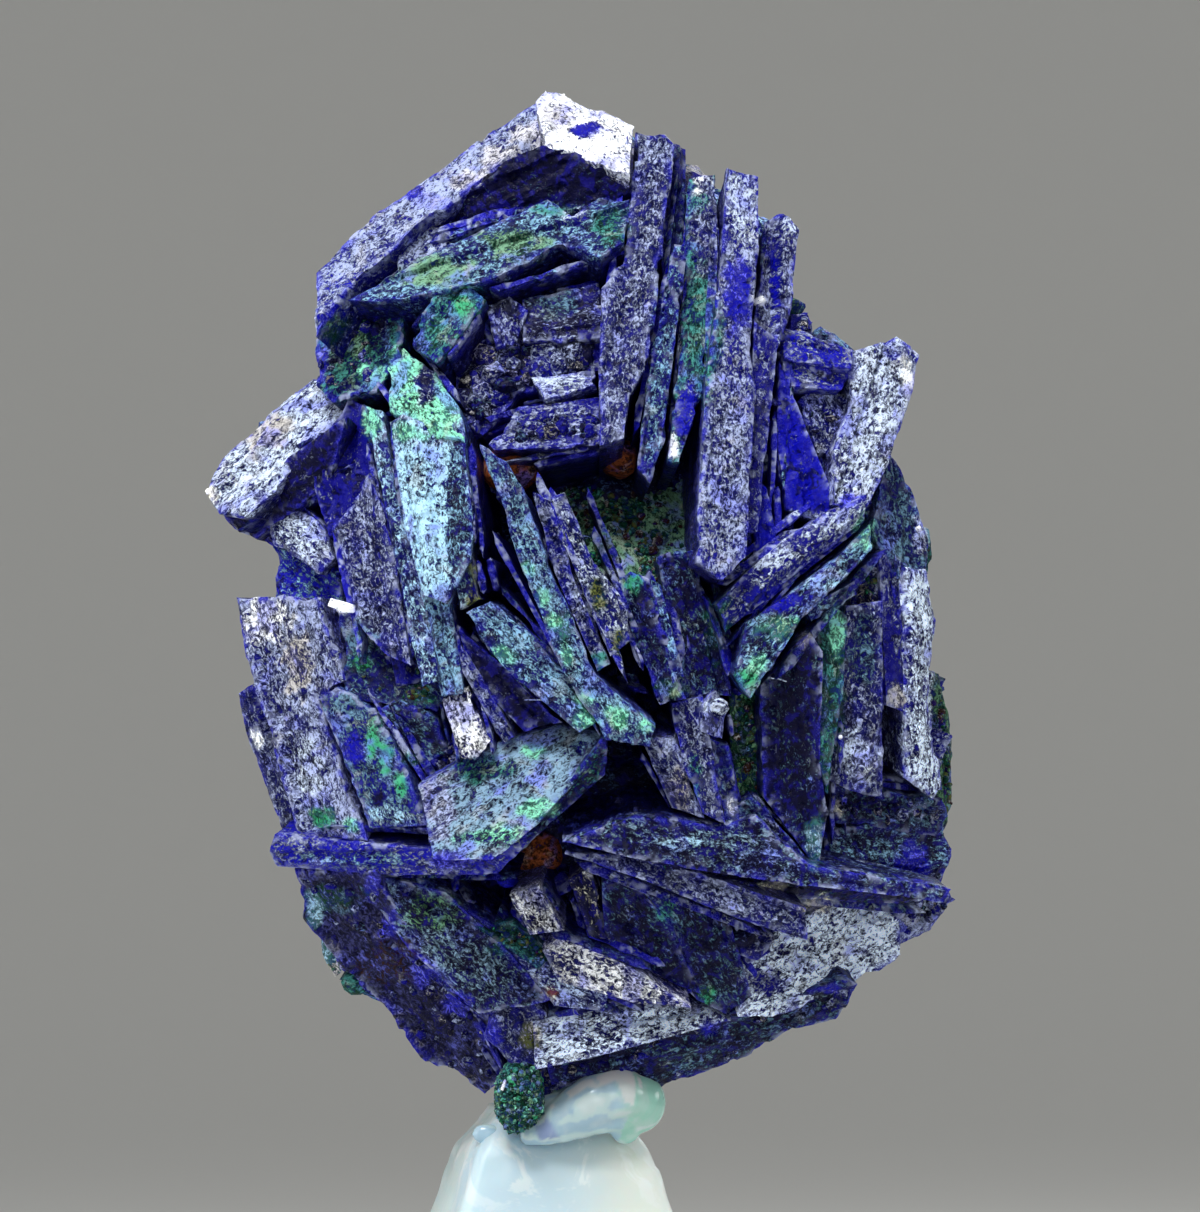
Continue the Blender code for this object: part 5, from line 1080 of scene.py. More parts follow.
def face_points(rim, step, chance):
    """Jittered points that fill a flat outline."""
    low, high = rim.min(0), rim.max(0)
    columns = np.arange(low[0], high[0], step)
    rows = np.arange(low[1], high[1], step)
    if not len(columns) or not len(rows):
        return np.zeros((0, 2))
    grid = np.stack(np.meshgrid(columns, rows), -1).reshape(-1, 2)
    draw = np.random.default_rng(int(chance.random() * 1e9))
    grid = grid + draw.uniform(-0.36, 0.36, grid.shape) * step
    grid = grid[within(grid, rim)]
    return grid[distance_to(grid, rim) > 0.5 * step] if len(grid) else grid


def lifted_at(flat, loop, lifted):
    """Height of the outline's own warped face at flat points inside it."""
    values = np.empty(len(flat))
    for index, point in enumerate(flat):
        gap = np.sum((loop - point) ** 2, axis=1) + 0.02
        weight = 1.0 / gap ** 1.5
        values[index] = weight @ lifted / weight.sum()
    return values


def paint(piece, points, faces, edge, depth, grain, look, chance, patches):
    """Gives a blade's points their colours, with painted shade deeper down its walls, and adds them to the piece."""
    deep_name, bloom_name, cover_share, edge_share = look
    deep = np.tile(COLOURS[deep_name], (len(points), 1))
    bloom = np.tile(COLOURS[bloom_name], (len(points), 1))
    cover = np.full(len(points), cover_share)
    cover += 0.10 * lattice(points * 0.6, 31)
    across = points[:, 0] + AXIS_ACROSS
    down = FOOT_DOWN - points[:, 2]
    near = depth < 1.2
    for u, v, half_width, half_height, under, over, share in patches:
        gap = np.hypot((across - u) / half_width, (down - v) / half_height)
        gap = gap + 0.45 * lattice(points * 2.1 + u, 37) + 0.30 * lattice(points * 5.0 + v, 38)
        weight = (1.0 - eased(gap, 0.70, 1.05)) * near
        if weight.max() > 0.0:
            deep += (np.array(COLOURS[under]) - deep) * weight[:, None]
            bloom += (np.array(COLOURS[over]) - bloom) * weight[:, None]
            cover += (share - cover) * weight
    # Walls darken and lose bloom with depth behind the face, less so near the cluster's rim: painted shade in the gaps
    # between blades, over the crystal's own deep blue.
    buried = eased(depth, 0.10, 0.8)
    outer_share = np.hypot((across - MIDDLE[0]) / HALF_WIDTH, (down - MIDDLE[1]) / HALF_HEIGHT)
    exposed = eased(outer_share, 0.62, 0.86)
    wall = (buried * (1.0 - 0.75 * exposed))[:, None]
    deep += (np.array(WALL_SHADE_DEEP) - deep) * wall * 0.85
    bloom += (np.array(WALL_SHADE_BLOOM) - bloom) * wall * 0.80
    cover = cover * (1.0 - (0.25 + 0.15 * exposed) * buried)
    piece.add(points, faces, deep, bloom, np.clip(cover, 0.0, 1.0), edge * edge_share, grain)


def ball_template(fineness):
    shape = bmesh.new()
    bmesh.ops.create_icosphere(shape, subdivisions=fineness, radius=1.0)
    points = np.array([vert.co for vert in shape.verts])
    faces = [tuple(vert.index for vert in face.verts) for face in shape.faces]
    shape.free()
    return points, faces


def add_granule(piece, centre, radii, look, chance, template):
    """A lumpy grain."""
    points, faces = template
    turn = np.array(Matrix.Rotation(chance.uniform(0.0, 6.0), 3, Vector((chance.random(), chance.random(), 0.3))))
    shift = chance.uniform(0.0, 90.0)
    swollen = points * (1.0 + 0.16 * lattice(points * 1.6 + shift, 41))[:, None]
    made = centre + (swollen @ turn.T) * radii
    none = np.zeros(len(points))
    paint(piece, made, faces, none, none, made + shift, look, chance, ())


def add_shard(piece, foot, way, length, width, thickness, look, chance):
    """A small bladed crystal with a slanting tip."""
    way = way / np.linalg.norm(way)
    aside = np.cross(way, (chance.uniform(-1, 1), chance.uniform(-1, 1), chance.uniform(-1, 1)))
    aside /= np.linalg.norm(aside)
    third = np.cross(way, aside)
    slant = chance.uniform(-0.4, 0.4)
    section = [(-0.5, 0.0), (-0.36, -0.5), (0.36, -0.5), (0.5, 0.0), (0.36, 0.5), (-0.36, 0.5)]
    points = []
    for share, scale in ((0.0, 0.9), (0.5, 1.0), (0.82, 0.98), (0.97, 0.72), (1.0, 0.45)):
        for a, b in section:
            lean = slant * a * width * (share > 0.7)
            points.append(foot + way * (length * share + lean) + aside * (a * width * scale)
                          + third * (b * thickness * scale))
    faces = [tuple(range(5, -1, -1)), tuple(range(24, 30))]
    for ring in range(4):
        for index in range(6):
            after = (index + 1) % 6
            faces.append((ring * 6 + index, ring * 6 + after, ring * 6 + 6 + after, ring * 6 + 6 + index))
    points = np.array(points)
    none = np.zeros(len(points))
    edge = np.full(len(points), 0.35)
    paint(piece, points, faces, edge, none, points + chance.uniform(0, 90), look, chance, ())


def add_core(piece, values, look, chance, template):
    """One of the rounded masses that the blades grow from, broken up into rubble."""
    across, down, depth, half_width, half_depth, half_height = values
    points, faces = template
    made = points * (half_width, half_depth, half_height)
    rough = 0.45 * np.abs(lattice(made * 0.8 + across, 43)) + 0.22 * lattice(made * 2.1 + down, 47)
    made = made + points * rough[:, None]
    made = made + to_space([(across, down, depth)])
    none = np.zeros(len(made))
    # A depth of 0.4 darkens the core as paint() darkens deep walls: painted shade in the gaps where it shows.
    paint(piece, made, faces, none, none + 0.4, made, look, chance, ())


def front_depth(across, down, set_back):
    """Depth of the front's bulge here, less a set-back."""
    return -(FRONT_SWELL * swell(across, down) - set_back)


def value_node(nodes, links, operation, first, second=None, third=None):
    made = nodes.new("ShaderNodeMath")
    made.operation = operation
    for socket, value in zip(made.inputs, (first, second, third)):
        if isinstance(value, (int, float)):
            socket.default_value = value
        elif value is not None:
            links.new(value, socket)
    return made.outputs[0]


def mixed(nodes, links, share, first, second, blend="MIX"):
    made = nodes.new("ShaderNodeMix")
    made.data_type = "RGBA"
    made.blend_type = blend
    for socket, value in ((made.inputs[0], share), (made.inputs[6], first), (made.inputs[7], second)):
        if isinstance(value, (int, float)):
            socket.default_value = value
        elif isinstance(value, tuple):
            socket.default_value = (*value, 1.0)
        else:
            links.new(value, socket)
    return made.outputs[2]


def noise(nodes, links, vector, scale, detail=2.0, roughness=0.55, distortion=0.0):
    made = nodes.new("ShaderNodeTexNoise")
    made.inputs["Scale"].default_value = scale
    made.inputs["Detail"].default_value = detail
    made.inputs["Roughness"].default_value = roughness
    made.inputs["Distortion"].default_value = distortion
    links.new(vector, made.inputs["Vector"])
    return made.outputs["Fac"]


def ramp(nodes, links, value, low, high, start=0.0, end=1.0):
    made = nodes.new("ShaderNodeMapRange")
    made.interpolation_type = "SMOOTHSTEP"
    for socket, part in zip(made.inputs, (value, low, high, start, end)):
        if isinstance(part, (int, float)):
            socket.default_value = part
        else:
            links.new(part, socket)
    return made.outputs[0]


def apart_from(nodes, links, vector, distance):
    """The same coordinates, moved so that a second noise there has its own pattern."""
    made = nodes.new("ShaderNodeVectorMath")
    made.operation = "ADD"
    made.inputs[1].default_value = (distance, distance, distance)
    links.new(vector, made.inputs[0])
    return made.outputs[0]


def attribute(nodes, name, output):
    made = nodes.new("ShaderNodeAttribute")
    made.attribute_name = name
    return made.outputs[output]


def new_material(name, roughness, ior):
    made = bpy.data.materials.new(name)
    made.use_nodes = True
    nodes, links = made.node_tree.nodes, made.node_tree.links
    shader = nodes["Principled BSDF"]
    shader.inputs["Roughness"].default_value = roughness
    shader.inputs["IOR"].default_value = ior
    return made, nodes, links, shader


def crystal_material(name, speckle_scale, smooth_rough, bloom_rough, relief):
    """Dark crystal under a worm-like bloom, with blue edges."""
    made, nodes, links, shader = new_material(name, bloom_rough, 1.5)
    shader.inputs["Specular IOR Level"].default_value = 0.10
    deep = attribute(nodes, "deep", "Vector")
    bloom = attribute(nodes, "bloom", "Vector")
    cover = attribute(nodes, "cover", "Fac")
    edge = attribute(nodes, "edge", "Fac")
    grain = attribute(nodes, "grain", "Vector")
    squeezed = nodes.new("ShaderNodeMapping")
    squeezed.inputs["Scale"].default_value = (0.72, 1.1, 1.0)
    links.new(grain, squeezed.inputs["Vector"])
    worms = noise(nodes, links, squeezed.outputs[0], speckle_scale, 3.0, 0.62, 0.9)
    clumps = noise(nodes, links, grain, 1.3, 2.0, 0.6)
    fine = noise(nodes, links, grain, 14.0, 3.0, 0.7)
    normal = nodes.new("ShaderNodeNewGeometry").outputs["Normal"]
    apart = nodes.new("ShaderNodeSeparateXYZ")
    links.new(normal, apart.inputs[0])
    # Faces that point upwards get more bloom and look paler: painted light from above.
    painted_top_light = value_node(nodes, links, "MULTIPLY", apart.outputs[2], 0.10)
    cover = value_node(nodes, links, "ADD", cover, painted_top_light)
    cover = value_node(nodes, links, "ADD", cover, value_node(nodes, links, "MULTIPLY_ADD", clumps, 0.90, -0.45))
    limit = value_node(nodes, links, "MULTIPLY_ADD", cover, -0.30, 0.650)
    signal = value_node(nodes, links, "MULTIPLY_ADD", fine, 0.30, value_node(nodes, links, "MULTIPLY", worms, 0.70))
    over = value_node(nodes, links, "SUBTRACT", signal, limit)
    spots = nodes.new("ShaderNodeTexVoronoi")
    spots.inputs["Scale"].default_value = 4.6
    links.new(squeezed.outputs[0], spots.inputs["Vector"])
    spot = value_node(nodes, links, "MULTIPLY_ADD", worms, 0.9, spots.outputs["Distance"])
    raised = ramp(nodes, links, over, -0.022, 0.022)
    mask = value_node(nodes, links, "MULTIPLY", raised, ramp(nodes, links, spot, 0.56, 0.66))
    strong = ramp(nodes, links, over, 0.02, 0.14)
    shade = value_node(nodes, links, "MULTIPLY_ADD", strong, 1.15, 0.45)
    drift = noise(nodes, links, grain, 0.9, 2.0, 0.6, 0.5)
    warm = noise(nodes, links, apart_from(nodes, links, grain, 17.0), 1.1, 2.0, 0.6, 0.5)
    bloom = mixed(nodes, links, ramp(nodes, links, drift, 0.50, 0.66, 0.0, 0.62), bloom, (0.115, 0.130, 0.580))
    bloom = mixed(nodes, links, ramp(nodes, links, warm, 0.54, 0.68, 0.0, 0.35), bloom, (0.330, 0.310, 0.270))
    lit = nodes.new("ShaderNodeVectorMath")
    lit.operation = "SCALE"
    links.new(bloom, lit.inputs[0])
    links.new(shade, lit.inputs["Scale"])
    stain = noise(nodes, links, apart_from(nodes, links, grain, 5.0), 2.2, 2.0, 0.65, 0.6)
    deep = mixed(nodes, links, ramp(nodes, links, stain, 0.50, 0.62, 0.0, 0.55), deep, (0.008, 0.006, 0.230))
    deep = mixed(nodes, links, ramp(nodes, links, stain, 0.47, 0.36, 0.0, 0.80), deep, (0.002, 0.002, 0.018))
    colour = mixed(nodes, links, mask, deep, lit.outputs[0])
    rims = noise(nodes, links, grain, 3.0, 1.0)
    rim = value_node(nodes, links, "MULTIPLY", edge, ramp(nodes, links, rims, 0.36, 0.56))
    tone = mixed(nodes, links, ramp(nodes, links, fine, 0.45, 0.6), COLOURS["royal"], COLOURS["violet"])
    pale = noise(nodes, links, apart_from(nodes, links, grain, 29.0), 1.6, 1.0)
    tone = mixed(nodes, links, ramp(nodes, links, pale, 0.50, 0.60), tone, (0.400, 0.450, 0.720))
    colour = mixed(nodes, links, value_node(nodes, links, "MULTIPLY", rim, 1.0), colour, tone)
    links.new(colour, shader.inputs["Base Color"])
    links.new(value_node(nodes, links, "MULTIPLY_ADD", mask, bloom_rough - smooth_rough, smooth_rough),
              shader.inputs["Roughness"])
    bump = nodes.new("ShaderNodeBump")
    bump.inputs["Strength"].default_value = 0.8
    bump.inputs["Distance"].default_value = relief * MM
    lumps = noise(nodes, links, grain, 3.2, 2.0, 0.6)
    relief_height = value_node(nodes, links, "MULTIPLY_ADD", fine, 0.6, raised)
    relief_height = value_node(nodes, links, "MULTIPLY_ADD", lumps, 3.0, relief_height)
    links.new(relief_height, bump.inputs["Height"])
    links.new(bump.outputs[0], shader.inputs["Normal"])
    return made


def stand_material():
    """Frosted, milky and faintly blue, with clearer smears of glue."""
    made, nodes, links, shader = new_material("frosted_stand", 0.42, 1.49)
    place_in = nodes.new("ShaderNodeTexCoord").outputs["Object"]
    broad = noise(nodes, links, place_in, 130.0, 2.0, 0.5, 0.4)
    fine = noise(nodes, links, place_in, 2600.0, 3.0, 0.6)
    apart = nodes.new("ShaderNodeSeparateXYZ")
    links.new(place_in, apart.inputs[0])
    shifted = value_node(nodes, links, "MULTIPLY_ADD", broad, 6.0 * MM, apart.outputs[0])
    to_front = ramp(nodes, links, apart.outputs[1], -1.0 * MM, -3.2 * MM)
    bluish = value_node(nodes, links, "MULTIPLY", to_front, ramp(nodes, links, shifted, -2.2 * MM, -0.2 * MM))
    colour = mixed(nodes, links, bluish, (0.66, 0.80, 0.80), (0.56, 0.72, 0.80))
    warm = value_node(nodes, links, "MULTIPLY", to_front, ramp(nodes, links, shifted, 2.6 * MM, 6.5 * MM))
    colour = mixed(nodes, links, warm, colour, (0.74, 0.80, 0.74))
    smears = noise(nodes, links, place_in, 420.0, 4.0, 0.6, 1.2)
    high = ramp(nodes, links, apart.outputs[2], 11.0 * MM, 14.0 * MM)
    smeared = value_node(nodes, links, "MULTIPLY", high, ramp(nodes, links, smears, 0.52, 0.60, 0.0, 0.6))
    colour = mixed(nodes, links, smeared, colour, (0.84, 0.90, 0.90))
    links.new(colour, shader.inputs["Base Color"])
    shader.inputs["Subsurface Weight"].default_value = 0.5
    shader.inputs["Subsurface Radius"].default_value = (0.5, 0.8, 1.0)
    shader.inputs["Subsurface Scale"].default_value = 0.002
    links.new(ramp(nodes, links, fine, 0.3, 0.7, 0.30, 0.55), shader.inputs["Roughness"])
    bump = nodes.new("ShaderNodeBump")
    bump.inputs["Strength"].default_value = 0.25
    bump.inputs["Distance"].default_value = 0.03 * MM
    links.new(fine, bump.inputs["Height"])
    links.new(bump.outputs[0], shader.inputs["Normal"])
    return made


def glue_material():
    """Clear and glossy, tinted by the streaks and painted highlights that build_glue lays along the bead."""
    made, nodes, links, shader = new_material("clear_glue", 0.07, 1.46)
    shader.inputs["Transmission Weight"].default_value = 0.30
    place_in = nodes.new("ShaderNodeTexCoord").outputs["Object"]
    clouds = noise(nodes, links, place_in, 900.0, 3.0, 0.6, 0.6)
    tint_and_highlight = attribute(nodes, "tint_and_highlight", "Vector")
    colour = mixed(nodes, links, ramp(nodes, links, clouds, 0.45, 0.70, 0.0, 0.35), tint_and_highlight, (0.88, 0.98, 0.99))
    links.new(colour, shader.inputs["Base Color"])
    links.new(ramp(nodes, links, clouds, 0.3, 0.7, 0.03, 0.12), shader.inputs["Roughness"])
    bump = nodes.new("ShaderNodeBump")
    bump.inputs["Strength"].default_value = 0.3
    bump.inputs["Distance"].default_value = 0.04 * MM
    links.new(clouds, bump.inputs["Height"])
    links.new(bump.outputs[0], shader.inputs["Normal"])
    return made


def finished(made, node, look):
    """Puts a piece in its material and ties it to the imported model."""
    made.data.materials.clear()
    made.data.materials.append(look)
    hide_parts(node)
    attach(made, "root")
    return made


REAR_FILLERS = 150
TOP_FILLERS = 36             # of them, how many are kept to the top of the back
RIM_FILLERS = 116
NO_LEAVES = ("cavity floor", "green hollow", "roof underside", "lower dark edge", "great plate edge", "roof cap")


def front_region(outline):
    across, down = middle_of(outline)
    if down < 13.5:
        return "upper_blades" if across < 25.2 else "column_blades"
    if down < 24.0:
        return "left_blades" if across < 20.5 else "column_blades"
    if down < 31.0:
        return "middle_blades" if across < 29.5 else "right_blades"
    return "lower_left_blades" if across < 22.0 else "lower_right_blades"


def build_blades(crystal):
    chance = random.Random(11)
    fronts = front_blades(chance)
    rears = rear_blades(chance)
    rims = rim_blades(chance)
    pieces = {}
    detail = random.Random(5)
    for (name, blade), values in zip(FRONT_BLADES.items(), fronts):
        piece = pieces.setdefault(front_region(blade[4]), Piece())
        outer, inner = [to_space(ends) for ends in values]
        box = outer.min(0) - 1.5, outer.max(0) + 1.5
        near = [patch for patch in PATCHES
                if box[0][0] < patch[0] - AXIS_ACROSS < box[1][0] and box[0][2] < FOOT_DOWN - patch[1] < box[1][2]]
        add_blade(piece, outer, inner, LOOKS[name], detail, OUTLINE_STEP, near)
        set_back, depth, turn_right, turn_up, outline = blade
        if name in NO_LEAVES or depth < 4.5:
            continue
        for further, leaf in side_leaves(outline, detail):
            ends = blade_ends(leaf, -1, FRONT_SWELL, set_back + further, depth, turn_right, turn_up)
            outer, inner = [to_space(end) for end in ends]
            leaf_piece = pieces.setdefault("leaves_" + front_region(leaf), Piece())
            add_blade(leaf_piece, outer, inner, detail.choice(LEAF_LOOKS), detail, BACK_STEP, near)
    for index, values in enumerate(rears):
        outer, inner = [to_space(ends) for ends in values]
        piece = pieces.setdefault(f"back_blades_{index * 4 // len(rears) + 1}", Piece())
        add_blade(piece, outer, inner, back_look(outer.mean(0), detail), detail, BACK_STEP)
    for index, values in enumerate(rims):
        outer, inner = [to_space(ends) for ends in values]
        piece = pieces.setdefault(f"side_blades_{index * 2 // len(rims) + 1}", Piece())
        add_blade(piece, outer, inner, back_look(outer.mean(0), detail), detail, BACK_STEP)
    for name, blades in (("back_small_blades", rear_fillers(detail)), ("side_small_blades", rim_fillers(detail))):
        piece = pieces.setdefault(name, Piece())
        for values in blades:
            outer, inner = [to_space(ends) for ends in values]
            add_blade(piece, outer, inner, back_look(outer.mean(0), detail), detail, SMALL_STEP)
    for name, piece in pieces.items():
        finished(piece.make(name), "azurite_cluster", crystal)


def rear_fillers(chance):
    """Smaller blades between the large ones of the back."""
    blades = []
    while len(blades) < REAR_FILLERS:
        lowest = 15.0 if len(blades) < TOP_FILLERS else 43.0
        u, v = chance.uniform(10.0, 38.0), chance.uniform(4.0, lowest)
        outline = fitted_strip(u, v, chance.uniform(-1.6, 1.6), chance.uniform(2.4, 5.5), chance.uniform(0.5, 1.1),
                               chance)
        turns = chance.uniform(-0.35, 0.35), chance.uniform(-0.35, 0.35)
        set_back = chance.uniform(0.5, 2.0)
        if outline:
            blades.append(blade_ends(outline, 1, REAR_SWELL, set_back, 4.5, *turns))
    return blades


def rim_fillers(chance):
    """Smaller blades round the sides, pointing outwards."""
    blades = []
    while len(blades) < RIM_FILLERS:
        across, down = silhouette_point(chance.random())
        if down > RIM_LOWEST:
            continue
        outwards = np.array((across - MIDDLE[0], down - MIDDLE[1]))
        outwards /= np.linalg.norm(outwards)
        beside = np.array((-outwards[1], outwards[0]))
        inset = chance.uniform(0.5, 1.6)
        middle_depth = chance.uniform(-1.0, 4.8)
        inset += 0.05 * middle_depth ** 2
        turn = chance.gauss(0.0, 0.7)
        length, width = chance.uniform(2.4, 5.5), chance.uniform(0.5, 1.2)
        ends = ([], [])
        for a, b in ((-0.5, -0.5), (-0.4, 0.5), (0.44, 0.5), (0.5, 0.0), (0.4, -0.5)):
            forward = a * length * math.cos(turn) - b * width * math.sin(turn)
            aside = a * length * math.sin(turn) + b * width * math.cos(turn)
            for found, sunk, kept in ((ends[0], inset, 1.0), (ends[1], inset + 4.0, 0.8)):
                flat = np.array((across, down)) - outwards * (sunk + 0.1 * a * length) + beside * aside * kept
                found.append((flat[0], flat[1], middle_depth + forward * kept))
        if all(inside(u, v) for u, v, depth in ends[0]):
            blades.append(ends)
    return blades


def back_look(middle, chance):
    """Looks of a blade that the front doesn't show, in drifts of like blades."""
    drift = lattice(np.array([middle]) * 0.16 + 7.0, 53)[0] + chance.uniform(-0.18, 0.18)
    if drift > 0.28:
        return chance.choice((("navy", "cyan", 0.56, 0.5), ("navy", "teal", 0.52, 0.5), ("pine", "green", 0.5, 0.4),
                              ("navy", "ice", 0.62, 0.5)))
    if drift > -0.12:
        return chance.choice((("ultramarine", "lilac", 0.58, 0.8), ("ultramarine", "frost", 0.6, 0.7),
                              ("navy", "lilac", 0.48, 0.7), ("ultramarine", "slate", 0.5, 0.8)))
    return chance.choice((("navy", "slate", 0.36, 0.7), ("ultramarine", "lilac", 0.26, 0.9),
                          ("ink", "slate", 0.3, 0.6), ("royal", "lilac", 0.2, 0.8)))


LEAF_LOOKS = (("navy", "lilac", 0.34, 0.9), ("ultramarine", "violet", 0.30, 0.9), ("royal", "lilac", 0.16, 0.9),
              ("navy", "cyan", 0.36, 0.8), ("navy", "slate", 0.40, 0.6), ("ultramarine", "frost", 0.46, 0.9))


def side_leaves(outline, chance):
    """Outlines of thin leaves along both long edges of a drawn blade, with their set-backs."""
    points = np.array(outline)
    middle = points.mean(0)
    along = np.linalg.svd(points - middle, full_matrices=False)[2][0]
    beside = np.array((-along[1], along[0]))
    lengths, widths = (points - middle) @ along, (points - middle) @ beside
    length, width = np.ptp(lengths), np.ptp(widths)
    leaves = []
    for side in (-1.0, 1.0):
        for count in range(chance.choice((1, 1, 2))):
            thickness = chance.uniform(0.18, 0.36)
            reach = length * chance.uniform(0.45, 0.85)
            shift = chance.uniform(-0.5, 0.5) * (length - reach)
            aside = side * (0.42 * width + thickness * (0.4 + 1.3 * count))
            centre = middle + along * ((lengths.max() + lengths.min()) / 2 + shift) + beside * aside
            bend = chance.uniform(-0.05, 0.05)
            corners = [centre + along * (a * reach) + beside * (b * thickness + bend * a * reach)
                       for a, b in ((-0.5, -0.2), (-0.44, 0.5), (0.42, 0.5), (0.5, 0.1), (0.38, -0.5), (-0.4, -0.5))]
            if all(inside(u, v) for u, v in corners):
                leaves.append((chance.uniform(0.25, 0.9) + 0.3 * count, [tuple(corner) for corner in corners]))
    return leaves


SHARD_LOOKS = (("navy", "lilac", 0.30, 0.8), ("ultramarine", "violet", 0.30, 0.9), ("ink", "slate", 0.25, 0.5),
               ("royal", "lilac", 0.15, 0.9), ("navy", "slate", 0.45, 0.5))
MOSS_LOOKS = (("pine", "green", 0.5, 0.0), ("pine", "malachite", 0.4, 0.0), ("olive", "green", 0.4, 0.0),
              ("pine", "teal", 0.5, 0.0), ("bark", "tan", 0.35, 0.0))
RUST_AT = {(20.5, 18.8): (-0.3, 1.05), (24.8, 18.4): (0.5, 1.0), (21.6, 34.0): (1.1, 0.8)}
CRUSTS = {"cavity floor": (520, (0.06, 0.20)), "green hollow": (160, (0.07, 0.2)),
          "right green edge": (110, (0.07, 0.18)), "moss ledge": (40, (0.05, 0.12)),
          "lower green patch": (60, (0.06, 0.14)), "right rubble": (70, (0.08, 0.2)),
          "right green knob": (30, (0.07, 0.15)), "green chip low": (24, (0.06, 0.14))}
EDGE_MARGIN = 0.10
CHUNK_LOOKS = (("ink", "lilac", 0.44, 0.5), ("navy", "lilac", 0.52, 0.5), ("ink", "slate", 0.30, 0.3),
               ("ultramarine", "lilac", 0.34, 0.6), ("ink", "tan", 0.40, 0.3))
CHUNKS = {"upper rubble": (110, (0.20, 0.62)), "right rubble": (40, (0.15, 0.40)),
          "small blue shards": (30, (0.12, 0.32)), "cavity lip": (36, (0.12, 0.30)),
          "right foot": (24, (0.12, 0.30)), "block by the glue": (34, (0.12, 0.28)),
          "lower left plate": (60, (0.10, 0.24)), "left shoulder": (40, (0.12, 0.30)),
          "lower dark edge": (40, (0.10, 0.24)), "right corner lump": (24, (0.12, 0.30)),
          "knob high": (16, (0.12, 0.26)), "knob low": (20, (0.12, 0.26))}

# Single knobs, flakes and fibres: across, down, how far they stand out of the bulge, half sizes
# across, in depth and upright, and the look
KNOBS = [
    (13.35, 37.7, -0.9, 0.42, 0.6, 0.85, ("teal", "ice", 0.66, 0.2)),
    (13.1, 36.6, -0.9, 0.34, 0.5, 0.45, ("teal", "cream", 0.6, 0.2)),
    (14.3, 39.2, -0.9, 0.60, 0.6, 0.50, ("pine", "teal", 0.7, 0.2)),
    (20.35, 35.0, -1.7, 0.42, 0.42, 0.38, ("royal", "royal", 0.3, 0.2)),
    (29.6, 37.3, 0.0, 0.50, 0.5, 0.42, ("ink", "slate", 0.3, 0.2)),
    (28.6, 28.2, 0.0, 0.45, 0.4, 0.40, ("navy", "frost", 0.6, 0.3)),
    # The last three knobs are tiny white balls that stand for glints: painted highlights.
    (29.9, 27.2, 0.60, 0.11, 0.11, 0.11, ("cream", "white", 1.0, 0.0)),
    (33.45, 29.4, 0.15, 0.10, 0.10, 0.10, ("white", "white", 1.0, 0.0)),
    (36.6, 21.2, 0.15, 0.13, 0.13, 0.14, ("white", "white", 1.0, 0.0)),
]
FLAKES = [
    (13.9, 24.25, 0.10, 1.15, 0.42, -0.30, ("frost", "white", 1.0, 0.0)),
    (30.25, 12.2, 0.10, 0.45, 0.28, 0.5, ("frost", "white", 1.0, 0.0)),
    # The white flake on the malachite ball stands for the glint of glue there: a painted highlight.
    (20.2, 43.15, 1.75, 0.42, 0.22, 1.2, ("frost", "white", 1.0, 0.0)),
    (30.9, 35.45, 0.05, 1.10, 0.16, -0.42, ("rust", "tan", 0.8, 0.0)),
]
FIBRES = [
    [(28.05, 33.9), (28.3, 34.25), (28.7, 34.7)],
    [(31.3, 27.2), (31.0, 27.1), (30.6, 27.05)],
    [(22.3, 27.6), (21.8, 27.9), (21.1, 27.9)],
    [(34.5, 35.5), (34.75, 35.15), (34.7, 34.8)],
]


def build_core(crystal):
    chance = random.Random(23)
    piece = Piece()
    template = ball_template(5)
    for values in CORE_LUMPS:
        add_core(piece, values, ("ink", "slate", 0.28, 0.0), chance, template)
    for count in range(900):
        u = chance.uniform(10.0, 38.0)
        v = chance.uniform(6.0, 42.0)
        if not inside(MIDDLE[0] + (u - MIDDLE[0]) * 1.25, MIDDLE[1] + (v - MIDDLE[1]) * 1.25):
            continue
        if 21.0 < u < 28.8 and 17.5 < v < 24.0:
            continue
        side = -1 if chance.random() < 0.62 else 1
        height = FRONT_SWELL if side < 0 else REAR_SWELL
        set_back = chance.uniform(2.2, 5.0)
        foot = to_space([(u, v, side * (height * swell(u, v) - set_back))])[0]
        way = np.array([(u - MIDDLE[0]) * 0.05, side * 1.0, (MIDDLE[1] - v) * 0.05])
        way += np.array([chance.uniform(-0.7, 0.7), chance.uniform(-0.3, 0.3), chance.uniform(-0.7, 0.7)])
        add_shard(piece, foot, way, chance.uniform(0.8, 2.0), chance.uniform(0.35, 0.9), chance.uniform(0.14, 0.32),
                  chance.choice(SHARD_LOOKS), chance)
    finished(piece.make("core_crystals", 20.0), "azurite_cluster", crystal)


def add_moss(piece, middle, halves, count, size, looks, chance, template):
    """Grains over the front half of a rounded mass."""
    for index in range(count):
        turn = chance.uniform(0.0, 2.0 * math.pi)
        reach = math.sqrt(chance.random())
        a, c = reach * math.cos(turn), reach * math.sin(turn)
        b = -math.sqrt(max(0.0, 1.0 - reach * reach))
        grown = np.array(halves) * (a, b, c)
        radius = chance.uniform(*size)
        add_granule(piece, middle + grown, np.array([radius, radius, radius * chance.uniform(0.8, 1.3)]),
                    chance.choice(looks), chance, template)


